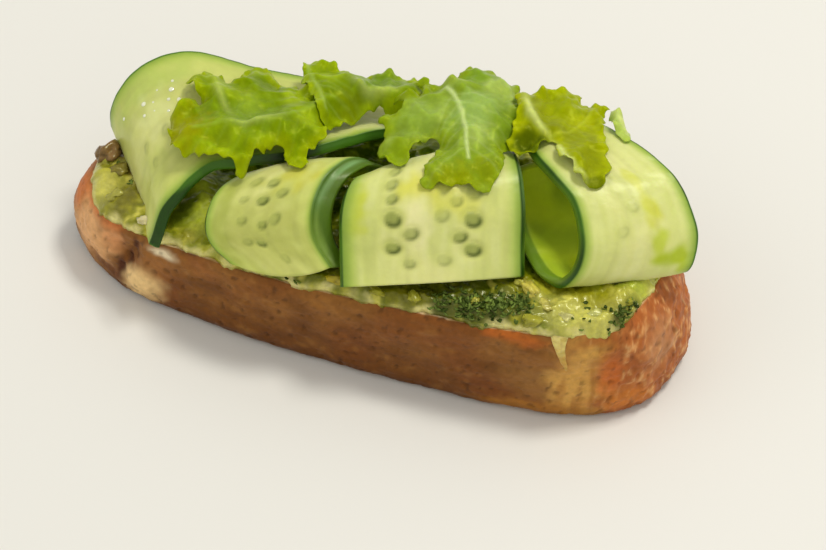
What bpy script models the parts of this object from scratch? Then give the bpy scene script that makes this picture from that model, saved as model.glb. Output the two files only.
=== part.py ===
"""Avocado toast: a thick slice of crusty bread spread with avocado, topped with
folded cucumber ribbons and curly lettuce leaves.

Lengths are in millimetres until a mesh is made, which is in metres, +Z up.
+X runs along the toast's front edge and +Y from its front to its back. The slice
stands on z = 0. At the end the whole toast is moved so that the origin is the
middle of its bounding box, at its base.
"""
import math

import bmesh
import bpy
import numpy as np
from mathutils import Matrix, Vector, noise
from mathutils.bvhtree import BVHTree

MM = 0.001

# Bread slice: its widest outline, its height at x = 0 and how that grows along
# +X, and how far the crust draws in from the outline at each share of the height.
BREAD_OUTLINE = [
    (-74.0, 18.0), (-67.5, 9.0), (-56.0, 2.4), (-36.0, -0.5), (-14.0, -1.7),
    (12.0, -1.2), (36.0, 0.2), (56.0, 4.2), (68.0, 13.0), (72.6, 26.5),
    (70.8, 37.0), (64.5, 47.0), (52.0, 58.0), (32.0, 64.8), (4.0, 66.0),
    (-28.0, 61.5), (-54.0, 50.0), (-70.0, 33.0),
]
BREAD_HEIGHT = 24.0
BREAD_WEDGE = 0.06
CRUST_PROFILE = [
    (0.0, 1.8), (0.045, 0.6), (0.14, 0.0), (0.36, 0.0), (0.62, 0.1), (0.82, 0.3),
    (0.93, 0.8), (1.0, 1.7),
]
END_START = 50.0
END_FULL = 74.0
END_SLOPE = 5.5
CRUST_BUMP = 0.5
CRUST_BUMP_SIZE = 14.0
# Where the crust swells or is pinched in: centre, radius and height of each.
CRUST_KNOBS = [((-69.0, 10.0, 13.0), 8.0, 1.6), ((-57.0, 2.4, 14.0), 3.5, -1.8)]
BREAD_AROUND = 76

# Avocado spread: a lumpy layer on the cut face, just inside the crust.
SPREAD_INSET = 2.2
SPREAD_EDGE_WAVE = 0.5
SPREAD_DEPTH = 3.0
SPREAD_LIP = 0.8
SPREAD_SHOULDER = 3.0
SPREAD_LUMP = 1.0
SPREAD_LUMP_SIZE = 7.0
SPREAD_AROUND = 76
SPREAD_RINGS = (0.0, 0.045, 0.12, 0.24, 0.40, 0.56, 0.72, 0.88)

# Gap left between pieces that touch.
GAP = 0.3

# Cucumber ribbons: each runs between its two skin edges, which pass through the
# points given, and its middle crowns up between them.
RIBBON_THICKNESS = 2.2
RIBBON_ACROSS = 6
RIBBONS = {
    "cucumber_ribbon_1": dict(
        near=[(-46.6, -0.5, 23.8), (-45.6, 1.3, 27.5), (-45.2, 4.0, 31), (-43.5, 7.0, 34),
              (-41.3, 10.8, 36.5), (-38, 14.4, 38.5), (-33, 16.2, 39.6),
              (-27.5, 19.5, 39.8), (-18.3, 26, 39.2), (-6, 38, 37.5), (3, 45, 33.5)],
        far=[(-69.3, 30.6, 23.8), (-69.4, 30.8, 28.5), (-68.4, 32.2, 33),
             (-66.1, 35.2, 37), (-62.7, 38.4, 39.6), (-58.9, 41.3, 40.6),
             (-55.3, 43.3, 40.6), (-49.1, 45.6, 39), (-37.5, 49.6, 34.3),
             (-24, 55, 31), (-13, 59, 30)],
        crown=1.2, along=30),
    "cucumber_ribbon_2": dict(
        near=[(-27.4, -1.2, 26), (-32.6, 0.6, 28.2), (-35, 3, 31), (-35.4, 7.6, 33.6),
              (-34, 12.4, 35), (-30.5, 16.6, 34.8), (-27.5, 20.5, 32), (-26, 23.5, 28.5)],
        far=[(-4.8, 3.3, 29.5), (-9.4, 6.2, 32.5), (-11.4, 8.8, 36), (-12.1, 13.3, 39.3),
             (-11.2, 18.3, 41.2), (-8.6, 24, 40.6), (-5.6, 28.5, 37), (-4, 31, 32)],
        crown=1.2, along=20),
    "cucumber_ribbon_3": dict(
        near=[(-0.9, -1.2, 29), (-3.1, 4.1, 34), (-5.2, 9.5, 39.6), (-5.7, 14.2, 42),
              (-5.2, 18.6, 41), (-4.6, 22.5, 36.5), (-4.4, 25, 31)],
        far=[(35.9, 14.8, 30.4), (34.2, 19, 35.5), (32.4, 24, 41.3), (29.6, 30, 45),
             (26.5, 36, 44.5), (24, 40.5, 40), (22.5, 43, 33.5)],
        crown=2.6, along=20),
    "cucumber_ribbon_4": dict(
        near=[(33, 24, 31), (37, 18.8, 31), (41, 15.3, 31.2), (44.8, 14.6, 32.2),
              (46.8, 17.3, 35.2), (46, 21, 39.5), (41.4, 27.2, 44.3), (36.1, 31, 46.7),
              (31.9, 34.8, 47), (28.2, 39.5, 45.5), (25, 44.5, 41), (22.6, 48.5, 34)],
        far=[(54, 44, 31), (61, 37, 31), (67, 31.2, 31.2), (70.8, 28.9, 32),
             (71.8, 30.6, 35), (69.6, 33.8, 38.8), (64.2, 38.9, 42.4), (59.2, 42.2, 44.4),
             (53, 45.4, 45.9), (46.8, 48.8, 45.8), (41.4, 54, 42), (38.4, 58.5, 35)],
        crown=0.6, along=32),
}

# Lettuce leaves, in the order that they lie: the middle of each and its height,
# how much its plane rises along X and Y, how far its rim droops and ruffles, and
# the direction and reach of each tip and each notch of its edge.
LEAF_THICKNESS = 0.9
LEAF_CLEARANCE = 1.8
LEAF_RINGS = (0.0, 0.4, 0.75, 1.0)
LEAF_EDGE_STEPS = 3
LEAVES = {
    "lettuce_leaf_1": dict(
        middle=(-33.5, 25.5), height=45.5, rise=(-0.05, 0.05), droop=3.5, ruffle=1.2,
        edge=[(6, 16), (26, 17), (48, 15), (74, 18), (93, 15.5), (114, 18), (131, 13),
              (144, 17.5), (160, 19), (177, 15.5), (200, 17.5), (220, 17.5), (236, 13.5),
              (253, 13), (268, 10.5), (285, 15), (305, 9.5), (325, 15.5), (343, 18),
              (355, 15)]),
    "lettuce_leaf_2": dict(
        middle=(-21, 43.5), height=44.0, rise=(-0.1, -0.1), droop=3.0, ruffle=1.2,
        edge=[(0, 11), (14, 18), (25, 23), (38, 14), (62, 10), (104, 9), (127, 14.5),
              (140, 12.5), (152, 16), (176, 9), (217, 7), (258, 8.5), (290, 10),
              (308, 12), (336, 9)]),
    "lettuce_leaf_3": dict(
        middle=(11, 35.5), height=49.5, rise=(0.0, 0.0), droop=4.0, ruffle=1.2,
        edge=[(10, 15), (26, 14), (45, 17), (64, 21.5), (84, 23.5), (101, 18), (113, 19),
              (129, 15.5), (145, 19), (158, 14.5), (171, 15.5), (183, 14), (200, 16),
              (214, 15.5), (227, 7.5), (241, 14), (254, 11), (268, 17), (283, 13.5),
              (299, 17), (313, 14), (329, 17), (347, 13)]),
    "lettuce_leaf_4": dict(
        middle=(37.3, 40.5), height=51.0, rise=(0.0, 0.0), droop=3.0, ruffle=1.6,
        edge=[(8, 9.5), (28, 9), (46, 11), (63, 14), (81, 13.5), (96, 16.5), (112, 14.5),
              (127, 17), (138, 14.5), (149, 16), (170, 9), (191, 10.5), (204, 7.5),
              (219, 12.5), (243, 8), (266, 7.5), (288, 9), (307, 14.5), (323, 14.5),
              (342, 9.5)]),
    "lettuce_leaf_5": dict(
        middle=(47, 50), height=50.0, rise=(0.1, 0.1), droop=1.0, ruffle=0.6,
        edge=[(10, 3.5), (40, 4), (75, 3), (110, 6), (135, 4.5), (160, 5), (200, 3.5),
              (235, 4.5), (270, 4), (300, 7), (325, 5.5), (345, 5)]),
}


def colour_material(name, colour, roughness):
    """A plain Principled material."""
    material = bpy.data.materials.new(name)
    material.use_nodes = True
    shader = material.node_tree.nodes["Principled BSDF"]
    shader.inputs["Base Color"].default_value = (*colour, 1.0)
    shader.inputs["Roughness"].default_value = roughness
    shader.inputs["Metallic"].default_value = 0.0
    material.diffuse_color = (*colour, 1.0)
    return material


def smooth_curve(points, count, closed=False):
    """`count` points evenly spaced along a Catmull-Rom curve through `points`."""
    knots = np.array(points, float)
    spans = len(knots) if closed else len(knots) - 1
    if closed:
        padded = np.vstack([knots[-1:], knots, knots[:2]])
    else:
        padded = np.vstack([2 * knots[0] - knots[1], knots, 2 * knots[-1] - knots[-2]])
    fine = []
    for span in range(spans):
        a, b, c, d = padded[span:span + 4]
        for t in np.arange(0, 1, 0.02):
            fine.append(0.5 * (2 * b + (c - a) * t + (2 * a - 5 * b + 4 * c - d) * t ** 2
                               + (3 * b - a - 3 * c + d) * t ** 3))
    fine.append(knots[0] if closed else knots[-1])
    fine = np.array(fine)
    steps = np.linalg.norm(np.diff(fine, axis=0), axis=1)
    travelled = np.concatenate([[0], np.cumsum(steps)])
    wanted = np.linspace(0, travelled[-1], count, endpoint=not closed)
    return np.stack([np.interp(wanted, travelled, column) for column in fine.T], 1)


def outward(outline):
    """Unit normals that point out of a closed outline that runs anticlockwise."""
    tangent = np.roll(outline, -1, axis=0) - np.roll(outline, 1, axis=0)
    tangent /= np.linalg.norm(tangent, axis=1)[:, None]
    return np.stack([tangent[:, 1], -tangent[:, 0]], 1)


def lumps(x, y, z, size):
    """Smooth unevenness, about -1 to 1, with bumps `size` mm across."""
    return noise.noise(Vector((x, y, z)) / size) * 1.6


def make_object(name, vertices, faces, material):
    """A smooth-shaded mesh object from millimetre vertices."""
    mesh = bpy.data.meshes.new(name)
    mesh.from_pydata([tuple(float(c) * MM for c in v) for v in vertices], [], faces)
    working = bmesh.new()
    working.from_mesh(mesh)
    bmesh.ops.recalc_face_normals(working, faces=working.faces)
    working.to_mesh(mesh)
    working.free()
    mesh.shade_smooth()
    mesh.materials.append(material)
    item = bpy.data.objects.new(name, mesh)
    bpy.context.scene.collection.objects.link(item)
    return item


def ring_faces(rings, around, first_ring=0):
    """Quads between successive rings of `around` vertices."""
    faces = []
    for ring in range(first_ring, first_ring + rings - 1):
        for k in range(around):
            after = (k + 1) % around
            faces.append((ring * around + k, ring * around + after,
                          (ring + 1) * around + after, (ring + 1) * around + k))
    return faces


def bread_top(x):
    """Height of the slice's cut face."""
    return BREAD_HEIGHT + BREAD_WEDGE * x


def end_slope(x, share):
    """How much further the crust draws in near the slice's two ends."""
    past = np.clip((np.abs(x) - END_START) / (END_FULL - END_START), 0, 1)
    return END_SLOPE * past * share ** 3


def crust_bump(x, y, z, share):
    """How far the crust stands out from its smooth side."""
    side = 1 - abs(2 * share - 1) ** 4
    bump = CRUST_BUMP * side * lumps(x, y, z, CRUST_BUMP_SIZE)
    for centre, radius, height in CRUST_KNOBS:
        away = math.dist(centre, (x, y, z)) / radius
        bump += side * height * math.exp(-away ** 2)
    return bump


def make_bread(material):
    outline = smooth_curve(BREAD_OUTLINE, BREAD_AROUND, closed=True)
    normals = outward(outline)
    vertices = []
    for share, inset in CRUST_PROFILE:
        for point, normal in zip(outline, normals):
            bump = crust_bump(point[0], point[1], share * bread_top(point[0]), share)
            x, y = point - normal * (inset + end_slope(point[0], share) - bump)
            vertices.append((x, y, share * bread_top(x)))
    rings = len(CRUST_PROFILE)
    faces = ring_faces(rings, BREAD_AROUND)
    faces.append(tuple(range(BREAD_AROUND)))
    faces.append(tuple(range((rings - 1) * BREAD_AROUND, rings * BREAD_AROUND)))
    return make_object("bread_slice", vertices, faces, material)


def make_spread(material):
    """A low mound: flat below, a rounded shoulder, and a lumpy top."""
    outline = smooth_curve(BREAD_OUTLINE, SPREAD_AROUND, closed=True)
    inset = SPREAD_INSET + end_slope(outline[:, 0], 1.0)
    inset += [SPREAD_EDGE_WAVE * lumps(x, y, 60.0, 9.0) for x, y in outline]
    edge = outline - outward(outline) * inset[:, None]
    middle = edge.mean(0)
    vertices = [(x, y, bread_top(x) + GAP) for x, y in edge]
    for ring in SPREAD_RINGS:
        for point in edge:
            x, y = point + (middle - point) * ring
            inside = np.linalg.norm(point - middle) * ring
            rise = 1 - (1 - min(inside / SPREAD_SHOULDER, 1.0)) ** 2
            depth = SPREAD_LIP + (SPREAD_DEPTH - SPREAD_LIP) * rise
            depth += SPREAD_LUMP * rise * lumps(x, y, 90.0, SPREAD_LUMP_SIZE)
            vertices.append((x, y, bread_top(x) + GAP + depth))
    rings = len(SPREAD_RINGS) + 1
    faces = ring_faces(rings, SPREAD_AROUND)
    faces.append(tuple(range(SPREAD_AROUND)))
    faces.append(tuple(range((rings - 1) * SPREAD_AROUND, rings * SPREAD_AROUND)))
    return make_object("avocado_spread", vertices, faces, material)


def ribbon_mesh(shape, thickness, across, overhang=0.0):
    """Vertices and faces of a closed strip between a ribbon's two skin edges."""
    along = shape["along"]
    edges = smooth_curve(np.hstack([shape["near"], shape["far"]]), along)
    near, far = edges[:, :3], edges[:, 3:]
    span = far - near
    normal = np.cross(span, np.gradient((near + far) / 2, axis=0))
    normal /= np.linalg.norm(normal, axis=1)[:, None]
    reach = span / np.linalg.norm(span, axis=1)[:, None] * overhang
    near, far = near - reach, far + reach
    if overhang:
        start, end = near[0] - near[1] + far[0] - far[1], near[-1] - near[-2] + far[-1] - far[-2]
        for edge in (near, far):
            edge[0] += start / np.linalg.norm(start) * overhang
            edge[-1] += end / np.linalg.norm(end) * overhang
    top, bottom = [], []
    for w in np.linspace(0, 1, across + 1):
        middle = near + (far - near) * w + normal * shape["crown"] * 4 * w * (1 - w)
        top.append(middle + normal * thickness / 2)
        bottom.append(middle - normal * thickness / 2)
    vertices = np.vstack(top + bottom)

    def at(side, row, step):
        return (side * (across + 1) + row) * along + step

    faces = []
    for step in range(along - 1):
        for row in range(across):
            for side in (0, 1):
                faces.append((at(side, row, step), at(side, row + 1, step),
                              at(side, row + 1, step + 1), at(side, row, step + 1)))
        for row in (0, across):
            faces.append((at(0, row, step), at(0, row, step + 1),
                          at(1, row, step + 1), at(1, row, step)))
    for step in (0, along - 1):
        for row in range(across):
            faces.append((at(0, row, step), at(0, row + 1, step),
                          at(1, row + 1, step), at(1, row, step)))
    return vertices, faces


def make_ribbon(name, shape, material):
    vertices, faces = ribbon_mesh(shape, RIBBON_THICKNESS, RIBBON_ACROSS)
    return make_object(name, vertices, faces, material)


def press_in(layer, name, shape, material):
    """Sink a ribbon into a layer: cut its shape, and the gap around it, from the layer."""
    vertices, faces = ribbon_mesh(shape, RIBBON_THICKNESS + 2 * GAP, RIBBON_ACROSS, GAP)
    cutter = make_object(name + "_press", vertices, faces, material)
    cutter.hide_render = True
    cutter.display_type = 'WIRE'
    cut = layer.modifiers.new(name, 'BOOLEAN')
    cut.operation = 'DIFFERENCE'
    cut.object = cutter


def leaf_radius(shape, angle):
    """Distance from a leaf's middle to its edge in direction `angle`, in degrees."""
    edge = shape["edge"]
    for index, (here, reach) in enumerate(edge):
        beyond, reach_beyond = edge[(index + 1) % len(edge)]
        span = (beyond - here) % 360
        share = ((angle - here) % 360) / span
        if share <= 1:
            if reach_beyond < reach:
                reach, reach_beyond, share = reach_beyond, reach, 1 - share
            return reach + (reach_beyond - reach) * math.sin(math.pi / 2 * share)
    return reach


def leaf_surface(shape, share, angle):
    """A point of the leaf's mid surface, a `share` of the way out to its edge."""
    radius = leaf_radius(shape, angle) * share
    dx, dy = radius * math.cos(math.radians(angle)), radius * math.sin(math.radians(angle))
    wave = math.sin(math.radians(angle * 4 + 10 * shape["middle"][0]))
    z = (shape["height"] + shape["rise"][0] * dx + shape["rise"][1] * dy
         - shape["droop"] * share ** 2 + shape["ruffle"] * share ** 2 * wave)
    return shape["middle"][0] + dx, shape["middle"][1] + dy, z


def leaf_angles(shape):
    """Directions for the leaf's vertices: each tip and notch, and evenly between them."""
    angles = []
    directions = [direction for direction, _ in shape["edge"]]
    for index, direction in enumerate(directions):
        beyond = directions[(index + 1) % len(directions)]
        step = ((beyond - direction) % 360) / LEAF_EDGE_STEPS
        angles += [direction + step * k for k in range(LEAF_EDGE_STEPS)]
    return angles


def resting_height(trees, x, y):
    """Height of the highest surface under (x, y) and close around it."""
    highest = -1e9
    for dx, dy in ((0, 0), (2, 0), (1.4, 1.4), (0, 2), (-1.4, 1.4), (-2, 0), (-1.4, -1.4),
                   (0, -2), (1.4, -1.4)):
        start = Vector(((x + dx) * MM, (y + dy) * MM, 1.0))
        for tree in trees:
            hit = tree.ray_cast(start, Vector((0, 0, -1)))[0]
            if hit is not None:
                highest = max(highest, hit.z / MM)
    return highest


def make_leaf(name, shape, trees, material):
    """A thin lobed leaf that drapes over what lies below it."""
    angles = leaf_angles(shape)
    around = len(angles)
    rings = len(LEAF_RINGS) - 1
    points = [leaf_surface(shape, 0.0, 0.0)]
    points += [leaf_surface(shape, share, angle) for share in LEAF_RINGS[1:] for angle in angles]
    points = [(x, y, max(z, resting_height(trees, x, y) + LEAF_CLEARANCE))
              for x, y, z in points]
    half = LEAF_THICKNESS / 2
    vertices = [(x, y, z + half) for x, y, z in points]
    vertices += [(x, y, z - half) for x, y, z in points]
    faces = []
    for start in (1, 1 + len(points)):
        for ring in range(rings - 1):
            inner, outer = start + ring * around, start + (ring + 1) * around
            for k in range(around):
                after = (k + 1) % around
                faces.append((inner + k, inner + after, outer + after, outer + k))
        for k in range(around):
            faces.append((start - 1, start + k, start + (k + 1) % around))
    rim = 1 + (rings - 1) * around
    for k in range(around):
        after = (k + 1) % around
        faces.append((rim + k, rim + after, len(points) + rim + after, len(points) + rim + k))
    return make_object(name, vertices, faces, material)


def surface_tree(item):
    """A ray-casting tree of an object's own mesh."""
    vertices = [vertex.co for vertex in item.data.vertices]
    return BVHTree.FromPolygons(vertices, [tuple(face.vertices) for face in item.data.polygons])


def centre_on_base(items, cutters):
    """Move everything so that the origin is the middle of the toast's base."""
    corners = np.array([vertex.co for item in items for vertex in item.data.vertices])
    low, high = corners.min(0), corners.max(0)
    shift = Matrix.Translation((-(low[0] + high[0]) / 2, -(low[1] + high[1]) / 2, -low[2]))
    for item in items + cutters:
        item.data.transform(shift)
    return shift.translation


def main():
    for item in list(bpy.data.objects):
        bpy.data.objects.remove(item)
    crust = colour_material("crust", (0.16, 0.065, 0.018), 0.75)
    avocado = colour_material("avocado", (0.38, 0.38, 0.09), 0.45)
    cucumber = colour_material("cucumber", (0.50, 0.55, 0.20), 0.35)
    lettuce = colour_material("lettuce", (0.20, 0.32, 0.02), 0.45)
    bread = make_bread(crust)
    spread = make_spread(avocado)
    ribbons = [make_ribbon(name, shape, cucumber) for name, shape in RIBBONS.items()]
    for name, shape in RIBBONS.items():
        press_in(spread, name, shape, avocado)
    trees = [surface_tree(item) for item in [spread] + ribbons]
    leaves = []
    for name, shape in LEAVES.items():
        leaf = make_leaf(name, shape, trees, lettuce)
        trees.append(surface_tree(leaf))
        leaves.append(leaf)
    cutters = [item for item in bpy.data.objects if item.hide_render]
    shift = centre_on_base([bread, spread] + ribbons + leaves, cutters)
    print("origin moved by mm:", [round(c / MM, 3) for c in shift])


main()
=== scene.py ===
import math

import bmesh
import bpy
import numpy as np
from mathutils import Euler, Matrix, Vector, geometry, noise
from mathutils.bvhtree import BVHTree


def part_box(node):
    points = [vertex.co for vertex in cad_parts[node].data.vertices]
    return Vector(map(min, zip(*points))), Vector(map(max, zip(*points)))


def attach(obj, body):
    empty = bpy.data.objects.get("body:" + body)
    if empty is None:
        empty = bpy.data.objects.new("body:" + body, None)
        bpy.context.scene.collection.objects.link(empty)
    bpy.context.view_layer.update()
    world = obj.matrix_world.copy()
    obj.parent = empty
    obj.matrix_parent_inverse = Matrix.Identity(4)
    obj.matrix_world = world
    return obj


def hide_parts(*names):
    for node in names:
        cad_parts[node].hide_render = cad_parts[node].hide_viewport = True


# The looks of an avocado toast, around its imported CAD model.
#
# Lengths are millimetres in the toast's own frame, the one its solids were modelled
# in: +X along the front edge, +Y to the back, the slice on z = 0. place() turns them
# into metres in the row frame, which has its origin in the middle of the base.

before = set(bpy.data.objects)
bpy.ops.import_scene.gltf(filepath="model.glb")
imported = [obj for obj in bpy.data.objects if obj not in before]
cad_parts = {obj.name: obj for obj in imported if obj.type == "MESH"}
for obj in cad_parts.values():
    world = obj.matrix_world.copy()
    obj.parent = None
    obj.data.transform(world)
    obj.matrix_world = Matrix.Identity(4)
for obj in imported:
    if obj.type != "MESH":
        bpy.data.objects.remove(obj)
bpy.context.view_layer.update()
MM = 0.001

# ---- driving sizes

# The slice, as in the CAD: outline, height at x = 0 and its growth along +X, and
# how far the crust draws in at each share of the height.
BREAD_OUTLINE = [
    (-74, 18), (-67.5, 9), (-56, 2.4), (-36, -0.5), (-14, -1.7),
    (12, -1.2), (36, 0.2), (56, 4.2), (68, 13), (72.6, 26.5),
    (70.8, 37), (64.5, 47), (52, 58), (32, 64.8), (4, 66),
    (-28, 61.5), (-54, 50), (-70, 33),
]
BREAD_HEIGHT = 24.0
BREAD_WEDGE = 0.06
CRUST_PROFILE = [
    (0, 1.8), (0.045, 0.6), (0.14, 0), (0.36, 0), (0.62, 0.1), (0.82, 0.3),
    (0.93, 0.8), (1, 1.7),
]
# The crust's ends lean in from END_START on, by END_SLOPES (left, right) at END_FULL.
END_START = 50.0
END_FULL = 74.0
END_SLOPES = (2.4, 6.8)
# The crust's broad unevenness, and its dents and swells: middle, radius and height. The
# first two are the CAD's own; then the crease beside the left knob, the swell below it,
# the torn spot, a dent at the knob's foot, and two at the golden right front.
CRUST_BUMP = 0.5
CRUST_BUMP_SIZE = 14.0
CRUST_SWELLS = [
    ((-69, 10, 13), 8, 1.6), ((-57, 2.4, 14), 3.5, -1.8),
    ((-62, 5, 18), 5, 0.9), ((-64, 6.5, 12), 5, 0.9),
    ((-52.4, 0.8, 18), 1.4, -1.6), ((-53.4, 1.2, 15), 1.5, -1.9),
    ((-54.8, 2, 11.5), 1.7, -1.9), ((-56.6, 3, 8), 1.9, -1.6),
    ((-50.8, 0, 8), 4.4, 1.5), ((-45.4, -1, 18.6), 2.2, -0.8),
    ((-66, 8, 5), 2.4, -0.7), ((-60, 4, 5), 2.4, -0.8),
    ((46, 2, 24), 3, -0.7), ((57, 5, 15), 4, -0.6),
]
# How many points run round the crust, up its side and in over the cut face.
CRUST_AROUND = 760
CRUST_ROWS = 52
RIM_WIDTH = 9.0
RIM_ROWS = 16
# The rings of the base, as shares of the outline.
BASE_RINGS = (0.4, 0.8, 0.95)
# Where along X the leathery right end starts and is whole, in its relief and its colour.
LEATHER_RELIEF = (48.0, 64.0)
LEATHER_COLOUR = (51.0, 64.0)

# The avocado layer on the cut face: how far in it starts, its depth inside and at its
# lip, the width of its rounded shoulder, and its broad lumps. It lies GAP above the cut
# face, as in the CAD, and its edge is closed SPREAD_SUNK below it. Its noise is taken at
# fixed levels, so that it is the same up and down a wall.
SPREAD_INSET = 2.0
SPREAD_DEPTH = 3.0
SPREAD_LIP = 0.8
SPREAD_SHOULDER = 3.0
SPREAD_LUMP = 1.0
SPREAD_LUMP_SIZE = 7.0
SPREAD_AROUND = 620
SPREAD_ROWS = 145
GAP = 0.3
SPREAD_SUNK = 0.6
SPREAD_LEVEL = 90.0
SPREAD_EDGE_LEVEL = 60.0
# How the rings crowd towards the edge, and how near to the middle the last one is.
RING_CROWDING = 1.15
RING_LAST = 0.97
# Where the mash is pressed out over the crust, where its edge drops there, fading out
# over DROOP_WIDTH, and its heaps: middle in plan, radius, and how far.
SPREAD_PRESSED = [((-66, 8), 8, 1.9), ((58, 6.5), 6, 1.5)]
SPREAD_DROOPS = [((-66, 8), 8, 1.6), ((58, 6.5), 6, 2.3)]
DROOP_WIDTH = 4.0
SPREAD_SWELLS = [((-38.5, 11.5), 5.5, 3.6), ((-43, 17), 6, 4)]

# The cucumber ribbons, as in the CAD: their two skin edges and the crown between them.
# Ribbon 4's inner end is longer here, and its edges rounder. Their section has rounded
# top corners and walls in WALL_ROWS rows that bulge a little, and its top and underside
# stop RIBBON_MARGIN from the walls. The looks of each ribbon follow:
#   slope   how far the near and the far wall stand out underneath
#   skin    how wide the skin shows on top, near and far, and inner, how much wider near
#           underneath
#   band    how wide the green band inside the skin is, near and far
#   outer   -1 where the outside is against the ribbon's normal
#   lit_side      0 for the near and 1 for the far wall that has painted light
#   shaded_side   0 for the near and 1 for the far wall that has painted shade
#   thin    how strongly painted light shows through the skin at its lower part
#   pale    how strongly pale fibres show
#   lip     a rounded front end: share across of its tip, and how far it hangs out
#   seeds   cut seeds: share across, mm along from the front foot, strength; seed_size is
#           their size compared with SEED_LENGTH and SEED_WIDTH
#   stains  patches of another colour: share across, mm along, half its width and half its
#           length, colour and strength
#   drops   of juice, near white as painted glints: share across, mm along and radius
RIBBON_THICKNESS = 2.2
RIBBON_CORNER = 0.35
RIBBON_BEVEL = 0.1
RIBBON_MARGIN = 0.7
RIBBON_STEP = 0.45
MEASURING_STEPS = 200
WALL_ROWS = 5
WALL_BULGE = 0.25
LIP_STEPS = 14
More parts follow.
